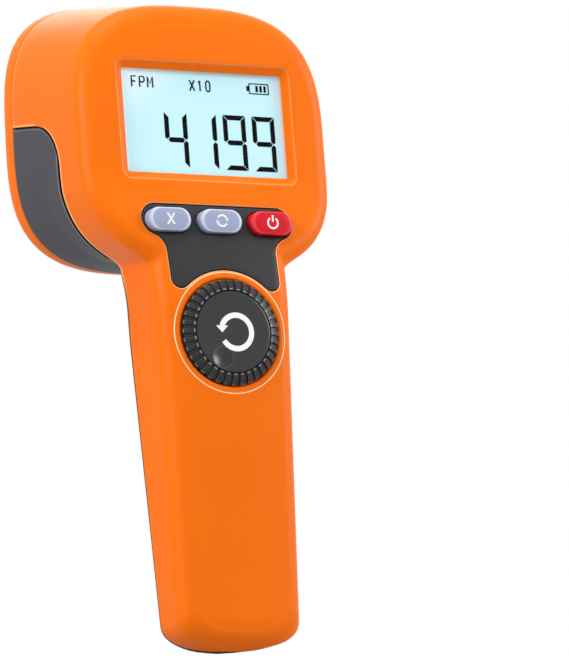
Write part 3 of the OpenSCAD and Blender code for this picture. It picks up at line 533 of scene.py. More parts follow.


# the pale and the dark edge colours of some finishes are a painted highlight and a painted shade
finishes = {
    "orange": mouldedFinish("orangeShell", tint(250, 116, 10), 0.38, 0.03, shine=0.1,
                            paintedHighlight=tint(255, 196, 140), paintedShade=tint(38, 22, 16)),
    "grey": mouldedFinish("greyShell", tint(80, 79, 85), 0.5, 0.08, grain=1100, stand=0.06, shine=0.05,
                          paintedHighlight=tint(140, 139, 146), paintedShade=tint(12, 12, 13)),
    "panel": mouldedFinish("keyPanel", tint(54, 54, 56), 0.4, 0.08, shine=0.15),
    "keyGrey": mouldedFinish("keyGrey", tint(160, 171, 202), 0.34, 0.04, paintedHighlight=tint(248, 250, 255)),
    "keyRed": mouldedFinish("keyRed", tint(222, 20, 38), 0.34, 0.05, shine=0.2, paintedHighlight=tint(244, 92, 104)),
    "dial": mouldedFinish("dialRim", tint(34, 34, 36), 0.38, 0.1, shine=0.3, paintedHighlight=tint(150, 150, 152)),
    "cap": mouldedFinish("dialCap", tint(26, 26, 28), 0.3, 0.08, shine=0.5, paintedHighlight=tint(96, 96, 100)),
    "white": inkFinish("whiteInk", tint(255, 255, 255), tone=0.02),
    "black": inkFinish("segmentBlack", tint(4, 4, 5), rough=0.5, shine=0.02),
    "pale": inkFinish("paleInk", tint(255, 232, 190)),
    "steel": metalFinish("screwSteel", tint(190, 190, 194), rough=0.3),
    "alloy": metalFinish("bareAlloy", tint(205, 206, 210), rough=0.38, stretch=(14, 1, 1)),
    "brass": metalFinish("bushBrass", tint(205, 165, 90), rough=0.3),
    "mirror": metalFinish("cupMirror", tint(214, 215, 219), rough=0.2, stretch=(1, 1, 1), grain=900,
                          tone=0.05),
    "whitePlastic": mouldedFinish("whiteHolder", tint(236, 235, 230), rough=0.5),
    "blackPlastic": mouldedFinish("blackHolder", tint(34, 34, 36), rough=0.5, tone=0.1),
    "rubber": mouldedFinish("gasketRubber", tint(28, 28, 29), rough=0.75, tone=0.12, grain=900, stand=0.08),
    "whiteBoard": mouldedFinish("lampBoard", tint(238, 238, 234), rough=0.45, grain=2200),
    "greenBoard": mouldedFinish("mainBoard", tint(32, 104, 62), rough=0.4, tone=0.12, grain=800, stand=0.05),
    "sleeve": mouldedFinish("cellSleeve", tint(52, 86, 160), rough=0.3, tone=0.08),
    "leadRed": mouldedFinish("leadRed", tint(176, 36, 34), rough=0.45),
    "phosphor": mouldedFinish("phosphorYellow", tint(244, 214, 92), rough=0.25, tone=0.1, grain=3200),
    "window": paneFinish("displayPane", (0.95, 0.98, 1.0, 1.0), gloss=0.1),
    "lens": paneFinish("lampPane", (0.95, 0.97, 1.0, 1.0), gloss=1.0, rough=0.06),
}
print("finishes:", len(finishes))


# rows of the front casing: close at the foot's corners, the curve of the parting line and the top
def casingRows(crestShare=0.75, crestEase=1.54):
    foot = case.baseRound * (1 - np.cos(np.linspace(0, quarter, 22)))
    stepLow = case.stepZ - case.stepRound
    plain = np.linspace(case.baseRound, stepLow, 116)[1:]
    curve = stepLow + case.stepRound * np.sin(np.linspace(0, quarter, 20))[1:]
    p, mid, tall = headPower(case.partDeep), headMid(case.partDeep), headTall(case.partDeep, 0)
    high = mid + crestShare * tall
    rise = np.concatenate([case.stepZ + np.array([0.1, 0.35]), np.linspace(case.stepZ + 1.2, high, 22)])
    left = (quarter - math.asin(crestShare ** (p / 2))) * np.linspace(1, 0, 28)[1:] ** crestEase
    crest = mid + tall * np.sin(quarter - left) ** (2 / p)
    return np.concatenate([foot, plain, curve]), np.concatenate([[case.stepZ], rise, crest])


# key panel: the arcs of its outline, the step round it in the casing and its own edge, as grow and drop, and
# a painted highlight along the step
keyPanel = {
    "topZ": 141.3, "cornerX": 21.4, "cornerZ": 136.1, "cornerR": 5.2, "waistX": 25.2, "waistZ": 125.56,
    "waistR": 6.0, "tipX": 16.07, "tipZ": 116.4, "tipR": 3.0, "dialR": 20.3, "sunk": 0.12,
    "step": ((0.5, 0.0), (0.36, 0.05), (0.2, 0.2), (0.14, 0.4), (0.14, 1.2)), "wear": (0, 0.9, 0.9, 0.1, 0),
    "edge": ((-0.45, 0.0), (-0.3, 0.06), (-0.2, 0.22), (-0.18, 0.8)),
    "hole": ((0.25, 0.0), (0.08, 0.06), (0.0, 0.25), (0.0, 2.6)), "pitch": 1.3, "gap": 0.45,
}
panel = SimpleNamespace(**keyPanel)


# its outline, grown outwards: corner, waist, straight side, tip, and an arc round the dial
def panelOutline(grow):
    k = panel
    meet = math.degrees(math.atan2(k.waistZ - k.cornerZ, k.waistX - k.cornerX))
    tip = math.degrees(math.atan2(k.tipZ - case.dialZ, k.tipX))
    right = np.concatenate([
        flatPoints(np.linspace(0, k.cornerX, 16)[:-1], k.topZ + grow),
        arc(k.cornerX, k.cornerZ, k.cornerR + grow, 90, meet, 20),
        arc(k.waistX, k.waistZ, k.waistR - grow, meet + 180, 180, 10)[1:],
        arc(k.tipX, k.tipZ, k.tipR + grow, 0, tip - 180, 16),
        arc(0, case.dialZ, k.dialR - grow, tip, 90, 22)[1:]])
    return np.concatenate([right, right[1:-1][::-1] * [-1, 1]])


# display: its opening, the sloping frame's edge as grow and drop, the painted highlights along the frame, and
# the sheet behind as inset and lift
display = {
    "wide": 57.0, "tall": 34.0, "z": 169.0, "seat": 10.217, "slope": 2.5, "round": 3.0, "innerRound": 0.9,
    "edge": ((0.5, 0.0), (0.22, 0.05), (0.0, 0.16), (-0.16, 0.34)),
    "wear": (0, 0.25, 0.5, 0.2, 0, 0.1, 0.3, 0), "footLift": (0.05, 0.01), "slopeAt": (0.5, 0.93, 1.0),
    "window": 61.8, "windowTall": 38.8, "windowThick": 1.0, "sheetRound": 0.6, "paleSide": (2.2, 0.1),
    "paleCorner": (14.0, 42.0), "paleLean": 0.7,
    "sheet": ((0.0, -2.7), (0.0, -0.35), (0.1, -0.22), (0.25, -0.2), (3.0, -0.2)),
}
show = SimpleNamespace(**display)


# a place on the display's plane, which leans back with the face
def onDisplay(x, z, lift):
    c, s = math.cos(case.lean), math.sin(case.lean)
    x, z, lift = np.broadcast_arrays(np.asarray(x, float), z, lift)
    return solid(x, show.seat - lift * c + z * s, show.z + z * c + lift * s)


# the dial's well: its edge as grow and drop, and the circles of its floor
dialWell = {
    "round": 17.4, "floor": 1.6, "floorReach": (17.4, 17.2, 11.0, 4.9), "count": 144,
    "edge": ((0.8, 0.0), (0.42, 0.07), (0.12, 0.3), (0.0, 0.7)),
}
well = SimpleNamespace(**dialWell)
# front moulding: turns of its edge in degrees, spacing of its points, and the rolled edge over the ledge with
# its painted shade and highlight
frontMesh = {
    "edgeTurn": 30.0, "curlTurn": 36.0, "pitch": 1.7, "gap": 0.42, "margin": 0.8, "axisGap": 0.3,
    "ledgeIn": (0.5, 0.2, 0.06), "ledgeWear": (-1.0, -1.0, -0.5, 0.8), "topRow": 200.0,
    "inside": (0, 15, 110),
}


# walls and edges follow rows up the casing, the face is filled round its openings
def buildFrontShell():
    f = SimpleNamespace(**frontMesh)
    r, lips = case.edgeRound, len(lipIn)
    lowRows, highRows = casingRows()
    rows = np.concatenate([lowRows, highRows[1:]])[:, None]
    turned = case.partHead + case.stepRound
    start = np.where(rows > case.stepZ, turned, np.minimum(partEnd(rows), turned))
    front = faceAt(rows)
    corner = np.radians(np.linspace(0, f.edgeTurn, 7))[1:]
    lipped = smoothStep((case.stepZ - rows) / f.margin)
    lipDepth = start - (lipBack + case.groove) * lipped
    wallDepth = blendTo(lipDepth[:, -1:], front + r, np.linspace(0, 1, 10)[1:])
    edgeDepth = front + r * (1 - np.sin(corner))
    edgeIn = np.broadcast_to(r * (1 - np.cos(corner)), edgeDepth.shape)
    depth = np.concatenate([lipDepth, wallDepth, edgeDepth], 1)
    inset = np.concatenate([lipIn * lipped, np.zeros_like(wallDepth), edgeIn], 1)
    height = rowHeight(rows, depth, inset)
    half = casingHalf(height, depth, inset)
    # painted shade in the joint and a painted highlight just beside it, along the parting line
    joint = np.zeros_like(depth)
    wear = blendTo(handlePaintedShade, lipPaintedLight, smoothStep((rows - case.stepLow) / case.wearFade))
    joint[:, :lips] = np.where(rows <= case.stepZ, 1.0, 0.0) * wear
    parts = bothSides(half, depth, height, joint)

    # the head's upper side walls, back to the lamp's rim
    end = case.rimDepth - case.seam
    depthUp = np.concatenate([end - lipBack, np.linspace(end - lipBack[-1], turned, 14)[1:]])
    rowsUp = np.concatenate([[case.stepZ], highRows])[:, None]
    insetUp = np.zeros((len(rowsUp), len(depthUp)))
    insetUp[:3, :-1] = np.array(f.ledgeIn)[:, None]
    insetUp[:, :lips] = np.maximum(insetUp[:, :lips], lipIn)
    heightUp = rowHeight(rowsUp, depthUp, np.where(rowsUp > f.topRow, insetUp, 0))
    halfUp = casingHalf(heightUp, depthUp, insetUp)
    # painted shade and painted highlight along the ledge and the lamp's rim
    jointUp = np.zeros_like(halfUp)
    jointUp[:, :lips] = lipPaintedLight / 2
    jointUp[:4] = np.array(f.ledgeWear)[:, None]
    parts += bothSides(halfUp, depthUp, heightUp, jointUp)

    # the sole of the foot, straight across the lowest row
    across = np.linspace(-1, 1, 15)
    parts.append(gridFaces(solid(half[0][:, None] * across, depth[0][:, None], height[0][:, None])))

    # the face, with points round its border, over the toe and on the flat
    rim = flatPoints(half[:, -1], height[:, -1])
    sole = flatPoints(half[0, -1] * across[1:-1], height[0, -1])
    outline = np.concatenate([rim * [-1, 1], rim[-2::-1], sole[::-1]])
    curl = np.radians(np.linspace(f.curlTurn, 90, 10))
    curlIn = r * (1 - np.cos(curl))
    curlDepth = front + r * (1 - np.sin(curl))
    curlZ = rowHeight(rows, curlDepth, curlIn)
    curlX = casingHalf(curlZ, curlDepth, curlIn)
    band = flatPoints(curlX, curlZ)
    band = band[band[:, 0] > f.axisGap]
    toe = flatPoints(curlX[0][:, None] * across[1:-1:2], curlZ[0][:, None])
    flat = staggered(-44, 44, 1.5, 206, f.pitch)
    x, z = flat.T
    flat = flat[(np.abs(x) < casingHalf(z, faceAt(z), r) - f.margin) & (z > r + f.margin)]
    loose = np.concatenate([band, band * [-1, 1], toe, flat])

    wide, tall = show.wide / 2 + show.slope, show.tall / 2 + show.slope

    def openLoop(grow):
        return roundedBox(wide + grow, tall + grow, show.round + grow) + [0, show.z]

    def wellLoop(grow):
        return circle(0, case.dialZ, well.round + grow, well.count)

    holes = [openLoop(show.edge[0][0]), panelOutline(panel.step[0][0]), wellLoop(well.edge[0][0])]
    flat, faces = fillSheet(outline, holes, loose, f.gap)
    parts.append((laid(flat, faceDepth), faces))

    # the sloping frame of the display, with painted highlights along its edge and foot
    loops = [laid(openLoop(grow), faceDepth, drop) for grow, drop in show.edge]
    inner = roundedBox(show.wide / 2, show.tall / 2, show.innerRound).T
    foot, under = [onDisplay(*inner, lift) for lift in show.footLift]
    loops += [blendTo(loops[-1], foot, u) for u in show.slopeAt] + [under]
    parts.append(collar(loops, show.wear))

    # the step round the key panel with its painted highlight, and the dial's well
    parts.append(sunkCollar(panel.step, panelOutline, faceDepth, edges=panel.wear))
    loops = [laid(wellLoop(grow), faceDepth, drop) for grow, drop in well.edge]
    loops += [laid(circle(0, case.dialZ, reach, well.count), well.floor) for reach in well.floorReach]
    parts.append(collar(loops))
    return makePiece("frontShell", parts, "orange", "casing", ["front_shell"],
                     wall=case.wall, middle=f.inside)


frontShell = buildFrontShell()
print("front shell:", len(frontShell.data.polygons), "faces")


# rear moulding: lips along the front joint, the lamp's rim and the ledge, and the painted shade and painted
# highlight on them
rearMesh = {
    "frontLip": 0.3, "rimBack": np.array([0.3, 0.1, 0.0, 0.0]), "rimIn": (0.0, 0.03, 0.12, 0.35),
    "ledgeDrop": np.array([0, 0, 0, 0, 0.25, 0.6, 1.2]), "ledgeLip": 0.35, "dirty": -0.3,
    "frontWear": (-1, -1, -1, -1, -1, -0.4, 0.5, 0.6, 0.2), "ledgeWear": (-1, -1, -1, -1, -0.6, 0.6, 0),
    "sideIn": np.array([0.0, 0.02, 0.06, 0.12, 0.3, 0.6, 1.0]), "tongueGap": 0.02, "gap": 0.35,
    "dirtFrom": 0.95, "dirtFull": 0.45, "inside": (0, 8, 110),
}
rear = SimpleNamespace(**rearMesh)
# battery door: its outline, the grooves for the grip, and the edge it shares with its opening
doorway = {
    "halfWide": 17.0, "lowZ": 15.0, "highZ": 82.6, "round": 1.6, "gap": 0.25,
    "grooves": 6, "groovePitch": 2.6, "grooveLow": 62.0, "grooveHalf": 9.0, "grooveDeep": 0.7,
    "grooveBow": 0.018, "grooveWide": 0.8, "grooveFade": 1.5,
    "edge": ((0.35, 0.0), (0.14, 0.05), (0.03, 0.2), (0.0, 0.4)),
    "openDeep": 1.4, "doorDeep": 1.6, "pitch": 0.85, "inside": (0, 0, 50),
}
door = SimpleNamespace(**doorway)
# sinks of the casing screws: the edge as grow and drop, and the circles of the floor
caseScrews = {
    "places": ((-14.5, 118.4), (14.5, 118.4), (0.0, 7.0)), "round": 2.7, "floor": 3.4,
    "edge": ((0.4, 0.0), (0.15, 0.06), (0.0, 0.35)), "floorReach": (2.7, 2.5, 1.5), "count": 40,
}
sunkScrew = SimpleNamespace(**caseScrews)


# the door's outline, grown outwards
def doorLoop(grow):
    halfTall = (door.highZ - door.lowZ) / 2
    loop = roundedBox(door.halfWide + grow, halfTall + grow, door.round + grow, side=26)
    return loop + [0, door.lowZ + halfTall]


# painted shade in the joint: full at the parting line, gone a millimetre behind it
def paintedJointShade(gap):
    return -np.clip((rear.dirtFrom - gap) / (rear.dirtFrom - rear.dirtFull), 0, 1)


# the lower half of the head as a bowl, and the round back of the handle with the door's opening
def buildRearShell():
    # bowl: at each depth, the head's outline from the step down and round to the other side
    d0, d1 = case.partHead + case.seam, case.rimDepth - case.seam
    depth = d0 + (d1 - d0) * (1 - np.cos(np.linspace(0, quarter, 26)[1:-1]))
    depth = np.concatenate([[d0 - case.tongueOut, d0, d0, d0], depth, d1 - rear.rimBack])[:, None]
    inset = np.zeros_like(depth)
    inset[:3, 0], inset[-4:, 0] = (case.tongueIn, case.tongueIn, rear.frontLip), rear.rimIn
    u = np.clip(case.partHead + case.stepRound - depth, 0, case.stepRound)
    top = case.stepZ - case.stepRound + np.sqrt(case.stepRound ** 2 - u * u)
    top = rowHeight(top, depth, 0) - case.seam
    p, mid = headPower(depth), headMid(depth)
    tall, wide = headTall(depth, inset), headWide(depth, inset)
    t = (top - rear.ledgeDrop - mid) / tall
    a = np.arcsin(np.clip(np.sign(t) * np.abs(t) ** (p / 2), -1, 1))
    a = np.concatenate([a, blendTo(a[:, -1:], -quarter, np.linspace(0, 1, 64)[None, 1:])], 1)
    lip = np.zeros(a.shape[1])
    lip[:3] = case.tongueIn, case.tongueIn, rear.ledgeLip
    half = (wide - np.maximum(0, lip - inset)) * np.abs(np.cos(a)) ** (2 / p)
    z = mid + tall * np.sign(np.sin(a)) * np.abs(np.sin(a)) ** (2 / p)
    swell = casingHalf(z, depth, inset) - headHalf(z, depth, inset)
    near = smoothStep((d0 + case.swellDeep - depth) / case.swellDeep)
    beside = half - handleHalf(z, depth, inset)
    half = half + swell * near * smoothStep((beside + case.swellFade) / case.swellFade)
    z[:, 0] += case.tongueOut
    ring = np.concatenate([solid(-half, depth, z), solid(half, depth, z)[:, -2::-1]], 1)
    # painted shade and painted highlight along the front joint and the ledge, painted shade at the lamp's rim
    down, along = np.zeros((len(depth), 1)), np.zeros(ring.shape[1])
    down[:9, 0], down[-2:] = rear.frontWear, -1
    along[:7], along[-7:] = rear.ledgeWear, rear.ledgeWear[::-1]
    paintedShade = np.minimum(down, along)
    joint = np.where(paintedShade < rear.dirty, paintedShade, np.maximum(down, along))
    parts = [gridFaces(ring) + (joint.ravel(),)]

    # strips up the handle's sides, with a tongue that reaches into the front and painted shade beside the
    # parting line
    rows = np.concatenate([
        case.backRound * (1 - np.cos(np.linspace(0, quarter, 16))),
        np.linspace(case.backRound, case.backTop, 100)[1:]])[:, None]
    line, half = backArc(rows)[:2]
    lip = half - rear.sideIn
    above = np.maximum(rows, case.tongueIn)
    tongue = casingHalf(above, line, case.tongueIn) + rear.tongueGap
    across = np.concatenate([tongue, tongue, lip], 1)
    height = np.concatenate([above, above, np.repeat(rows, lip.shape[1], 1)], 1)
    depth = np.concatenate([line - [case.tongueOut, -0.1], backDepth(lip, rows)], 1)
    parts += bothSides(across, depth, height, paintedJointShade(depth - line))

    # back of the handle, with the door's opening and the screws' sinks
    half, rows = lip[:, -1], rows[:, 0]
    side = flatPoints(half, rows)
    across = np.linspace(-1, 1, 41)[1:-1]
    topEdge, lowEdge = flatPoints(half[-1] * across, rows[-1]), flatPoints(half[0] * across[::-1], rows[0])
    outline = np.concatenate([side * [-1, 1], topEdge, side[::-1], lowEdge])
    columns = np.sin(np.linspace(-1, 1, 33)[1:-1] * quarter)
    loose = flatPoints(half[1:-1, None] * columns, rows[1:-1, None])

    def openLoop(grow):
        return doorLoop(door.gap + grow)

    def sinkLoop(x, z, grow):
        return circle(x, z, sunkScrew.round + grow, sunkScrew.count)

    holes = [openLoop(door.edge[0][0])] + [sinkLoop(x, z, sunkScrew.edge[0][0]) for x, z in sunkScrew.places]
    flat, faces = fillSheet(outline, holes, loose, rear.gap)
    parts.append((laid(flat, backDepth), faces))
    parts.append(sunkCollar(door.edge + ((0.0, door.openDeep),), openLoop, backDepth, -1))
    for x, z in sunkScrew.places:
        seat = float(partLine(z)) + sunkScrew.floor
        loops = [laid(sinkLoop(x, z, grow), backDepth, -drop) for grow, drop in sunkScrew.edge]
        loops += [laid(circle(x, z, reach, sunkScrew.count), seat) for reach in sunkScrew.floorReach]
        parts.append(collar(loops))

    # the sole, between the arc and the parting line, with painted shade beside the line
    sole = np.concatenate([-lip[0], half[0] * across, lip[0, ::-1]])
    back = backDepth(sole, np.zeros_like(sole))
    near = [np.minimum(back, line[0] + gap) for gap in (rear.dirtFrom, rear.dirtFull, 0.0)]
    depth = np.stack([back] + near)
    parts.append(gridFaces(solid(sole[None], depth, 0.0)) + (paintedJointShade(depth - line[0]).ravel(),))
    return makePiece("rearShell", parts, "grey", "casing", ["rear_shell"],
                     wall=case.wall, middle=rear.inside)


rearShell = buildRearShell()
print("rear shell:", len(rearShell.data.polygons), "faces")


# the handle's back between the door's edges, less a row of bowed grooves that fade at their ends
def buildBatteryDoor():
    loose = staggered(-door.halfWide, door.halfWide, door.lowZ, door.highZ, door.pitch)
    flat, faces = fillSheet(doorLoop(-door.edge[0][0]), [], loose, rear.gap)
    x, z = flat.T
    wave = np.zeros_like(x)
    for k in range(door.grooves):
        bow = door.grooveLow + k * door.groovePitch + door.grooveBow * x * x
        wave = np.maximum(wave, np.clip(1 - ((z - bow) / door.grooveWide) ** 2, 0, 1))
    wave = wave * smoothStep((door.grooveHalf - np.abs(x)) / door.grooveFade)
    parts = [(laid(flat, backDepth, -door.grooveDeep * wave), faces)]
    steps = door.edge + ((0.0, door.doorDeep),)
    parts.append(sunkCollar(steps, lambda grow: doorLoop(-grow), backDepth, -1))
    return makePiece("batteryDoor", parts, "grey", "casing", ["battery_door"],
                     wall=case.wall, middle=door.inside)


buildBatteryDoor()


# lamp rim: its seat on the casing as depth and inset, the edge of the lens opening and the screws' sinks
lampRim = {
    "lip": 9.5, "round": 3.0, "screwX": 33.9, "screwZ": 32.7, "sinkDepth": 2.5, "shy": 0.07, "wall": 1.0,
    "seat": ((0.0, 2.0), (0.0, 0.3), (0.1, 0.1), (0.35, 0.0)),
    "opening": ((0.6, 0.0), (0.25, 0.06), (0.06, 0.26), (0.0, 0.6), (0.0, 2.0)), "count": 40,
    "sink": ((3.0, 0.0), (2.8, 0.06), (2.7, 0.3), (2.7, 2.5), (1.5, 2.5)), "pitch": 1.6,
    "gap": 0.3, "inside": 30.0,
}
bezel = SimpleNamespace(**lampRim)
lampZ = (case.topRear + case.lowRear) / 2
lampWide = case.headWide / 2 - bezel.lip
lampTall = (case.topRear - case.lowRear) / 2 - bezel.lip


# a superellipse: powers of cosine and sine
def oval(halfWide, halfTall, power, z, count=220):
    a = np.arange(count) / count * turn
    c, s = np.cos(a), np.sin(a)
    return np.stack([
        halfWide * np.sign(c) * np.abs(c) ** (2 / power),
        z + halfTall * np.sign(s) * np.abs(s) ** (2 / power)], 1)


# the head's outline at a depth, a hair lower than the casing's
def rimOval(d, inset):
    tall = headTall(d, inset + bezel.shy)
    return oval(float(headWide(d, inset)), float(tall), float(headPower(d)), float(headMid(d)))


# the opening for the lens, grown outwards
def lensOval(grow):
    return oval(lampWide + grow, lampTall + grow, case.powerRear, lampZ)


# depth of the rim's rounded back: the inset oval through a point is found by halving, the arc gives its drop
def rimDepth(x, z):
    deep, r = case.headDeep, bezel.round
    wide, tall, power, mid = headWide(deep, 0), headTall(deep, bezel.shy), headPower(deep), headMid(deep)
    low, high = np.zeros(len(x)), np.full(len(x), r)
    for again in range(24):
        inset = (low + high) / 2
        inner = (np.abs(x) / (wide - inset)) ** power + (np.abs(z - mid) / (tall - inset)) ** power < 1
        low, high = np.where(inner, inset, low), np.where(inner, high, inset)
    return deep - r + np.sqrt(r * r - (r - low) ** 2)


# loops of the head's outline turn in over a quarter circle; from half of it on, the back is one filled sheet
def buildLampRim():
    deep, r, meet = case.headDeep, bezel.round, 4
    loops = [laid(rimOval(case.rimDepth + d, inset), case.rimDepth + d) for d, inset in bezel.seat]
    angles = np.linspace(0, quarter, 2 * meet + 1)
    depths = deep - r + r * np.sin(angles)
    rounds = [rimOval(d, r * (1 - math.cos(a))) for a, d in zip(angles, depths)]
    loops += [laid(loop, d) for loop, d in zip(rounds[:meet + 1], depths)]
    parts = [collar(loops)]
    screws = [(i * bezel.screwX, lampZ + j * bezel.screwZ) for i in (-1, 1) for j in (-1, 1)]
    holes = [lensOval(bezel.opening[0][0])]
    holes += [circle(x, z, bezel.sink[0][0], bezel.count) for x, z in screws]
    loose = staggered(-46, 46, 128, 219, bezel.pitch)
    loose = loose[insideLoop(loose, rounds[-1])]
    loose = np.concatenate([loose[loopDistance(loose, rounds[-1]) > 2 * bezel.gap]] + rounds[meet + 1:])
    flat, faces = fillSheet(rounds[meet], holes, loose, bezel.gap)
    depth = rimDepth(*flat.T)
    depth[:len(rounds[meet])] = depths[meet]
    parts.append((laid(flat, depth), faces))
    parts.append(sunkCollar(bezel.opening, lensOval, deep, -1))
    for x, z in screws:
        loops = []
        for reach, drop in bezel.sink:
            loop = circle(x, z, reach, bezel.count)
            loops.append(laid(loop, np.maximum(rimDepth(*loop.T) - drop, deep - bezel.sinkDepth)))
        parts.append(collar(loops))
    return makePiece("lampRim", parts, "orange", "casing", ["lamp_bezel"],
                     wall=bezel.wall, middle=(0, bezel.inside, lampZ))


buildLampRim()

# lamp pane: a flat clear plate, a hair off the reflector behind it and the gasket before it
lampPane = {"border": 2.0, "thick": 2.6, "rimFace": 2.0, "gasket": 1.0, "gap": 0.04}
paneFront = case.headDeep - lampPane["rimFace"] - lampPane["gasket"]


def buildLampPane():
    low, high = paneFront - lampPane["thick"] + lampPane["gap"], paneFront - lampPane["gap"]
    pane = plate(lensOval(lampPane["border"]), low, high, lambda x, z, d: solid(x, d, z))
    return makePiece("lampPane", [pane], "lens", "casing", ["lamp_lens"])


buildLampPane()
print("battery door, lamp rim and pane done")


# emitters: square packages, as inset and lift, each under a phosphor dome, a quarter ellipse turned round
emitters = {
    "columns": 4, "rows": 3, "pitch": 17.5, "half": 1.75, "tall": 0.8, "dome": 1.35, "rise": 0.95,
    "cupDeep": 7.8, "round": 0.15,
    "package": ((0.0, 0.0), (0.0, 0.65), (0.12, 0.8), (0.5, 0.8), (0.6, 0.7), (1.2, 0.7)),
}


def buildEmitters():
    k = SimpleNamespace(**emitters)
    front = paneFront - lampPane["thick"] - k.cupDeep
    a = np.linspace(0, quarter, 9)[:, None]
    t = np.arange(24)[None] / 24 * turn
    reach, lift = k.dome * np.cos(a), front + k.tall + k.rise * np.sin(a)
    bases, domes = [], []
    for i in range(k.columns):
        for j in range(k.rows):
            x = (i - (k.columns - 1) / 2) * k.pitch
            z = lampZ + (j - (k.rows - 1) / 2) * k.pitch
            dome = solid(x + reach * np.cos(t), lift + 0 * t, z + reach * np.sin(t))
            domes.append(gridFaces(dome, closeV=True))
            boxes = [roundedBox(k.half - inset, k.half - inset, k.round, 4, 2) for inset, d in k.package]
            loops = [laid(box + [x, z], front + d) for box, (inset, d) in zip(boxes, k.package)]
            bases += [collar(loops), fan(loops[-1])]
    makePiece("emitterBases", bases, "whitePlastic", "casing", ["leds"])
    makePiece("emitterDomes", domes, "phosphor", "casing")


buildEmitters()


# display: a pale lit sheet, whiter at its sides and upper left, behind the clear window
def displayFinish():
    material, place = newFinish("displayGlow")
    across = place.node("ShaderNodeSeparateXYZ", None, {0: place}, out="X")
    up = across.also("Z") - show.z * mm
    side = across.maths("ABSOLUTE", across).rise(*[(show.wide / 2 - inset) * mm for inset in show.paleSide])
    corner = (up - across * show.paleLean).rise(*[reach * mm for reach in show.paleCorner])
    cloud = place.noise(60, 2)
    white = corner.maths("MAXIMUM", corner, side * 0.7) * (cloud * 0.3 + 0.8)
    paint = white.between(tint(182, 223, 232), tint(226, 240, 243))
    inputs = {
        "Base Color": paint, "Roughness": 0.4 + cloud * 0.1,
        "Emission Color": paint, "Emission Strength": 0.3}
    outFinish(place.node("ShaderNodeBsdfPrincipled", None, inputs))
    return material


# loops of a rounded box, from the back over a small edge to the middle of the front
def buildDisplayPanel():
    loops = []
    for inset, lift in show.sheet:
        loop = roundedBox(show.window / 2 - inset, show.windowTall / 2 - inset, show.sheetRound)
        loops.append(onDisplay(*loop.T, lift - show.windowThick))
    parts = [collar(loops), fan(loops[0][::-1]), fan(loops[-1])]
    return makePiece("displayPanel", parts, "glow", "casing", ["lcd_panel"])


finishes["glow"] = displayFinish()
buildDisplayPanel()

# what the display shows, counted from its upper left: figures of seven bars, a unit, a factor, a charge mark
figures = {
    "value": "4199", "left": 14.7, "pitch": 10.5, "wide": 8.1, "tall": 18.2, "top": 13.5,
    "bar": 1.6, "gap": 0.16, "lift": -1.17, "thick": 0.05, "words": (("FPM", 4.1, 5.75), ("X10", 24.7, 6.05)),
    "letterWide": 1.75, "letterTall": 3.5, "letterPitch": 2.85, "line": 0.5,
    "charge": ((46.2, 2.6), (53.1, 2.6), (53.1, 5.9), (46.2, 5.9)), "chargeLine": 0.36,
    "pole": ((45.2, 4.25), (46.2, 4.25)), "poleLine": 1.7, "levels": (48.9, 50.35, 51.8),
    "levelZ": (3.2, 5.3), "levelLine": 0.85,
}
barsOf = {"1": "bc", "4": "bcfg", "9": "abcdfg"}
strokes = {
    "F": [[(0, 0), (0, 1), (0.9, 1)], [(0, 0.52), (0.75, 0.52)]],
    "P": [[(0, 0), (0, 1), (0.75, 1), (0.95, 0.88), (0.95, 0.62), (0.75, 0.48), (0, 0.48)]],
    "M": [[(0, 0), (0, 1), (0.5, 0.35), (1, 1), (1, 0)]],
    "X": [[(0, 0), (1, 1)], [(0, 1), (1, 0)]],
    "1": [[(0.15, 0.8), (0.5, 1), (0.5, 0)]],
    "0": [[(0.1, 0.2), (0.1, 0.8), (0.35, 1), (0.65, 1), (0.9, 0.8), (0.9, 0.2), (0.65, 0), (0.35, 0),
           (0.1, 0.2)]],
}


# bars are flat plates with mitred ends, some of them mirrored; letters and the charge mark are strokes
def buildDisplayMarks():
    f = SimpleNamespace(**figures)
    parts = []

    def place(x, z, lift):
        return onDisplay(x - show.wide / 2, show.tall / 2 - z, f.lift + lift)

    def stroke(path, width):
        parts.append(ribbon(path, width, 0, f.thick, place))

    w, t, b, g = f.wide, f.tall, f.bar, f.gap
    m = t / 2
    bars = {
        "a": [(g, 0), (w - g, 0), (w - b - g, b), (b + g, b)],
        "g": [(0.6 * b + g, m), (b + g, m - b / 2), (w - b - g, m - b / 2), (w - 0.6 * b - g, m),
              (w - b - g, m + b / 2), (b + g, m + b / 2)],
        "b": [(w, g), (w - b, b + g), (w - b, m - b / 2 - g), (w - 0.5 * b, m - g), (w, m - 0.3 * b - g)],
    }
    bars = {bar: np.array(corners) for bar, corners in bars.items()}
    bars["c"], bars["d"] = [[0, t] + bars[bar] * [1, -1] for bar in "ba"]
    bars["f"] = [w, 0] + bars["b"] * [-1, 1]
    for k, figure in enumerate(f.value):
        for bar in barsOf[figure]:
            parts.append(plate(bars[bar] + [f.left + k * f.pitch, f.top], 0, f.thick, place))
    for word, left, low in f.words:
        for k, letter in enumerate(word):
            for line in strokes[letter]:
                path = np.array(line) * [f.letterWide, -f.letterTall]
                stroke(path + [left + k * f.letterPitch, low], f.line)
    for k in range(4):
        stroke([f.charge[k], f.charge[(k + 1) % 4]], f.chargeLine)
    stroke(f.pole, f.poleLine)
    for x in f.levels:
        stroke([(x, z) for z in f.levelZ], f.levelLine)
    return makePiece("displayMarks", parts, "black", "casing", sharp=20)


buildDisplayMarks()
print("display done")


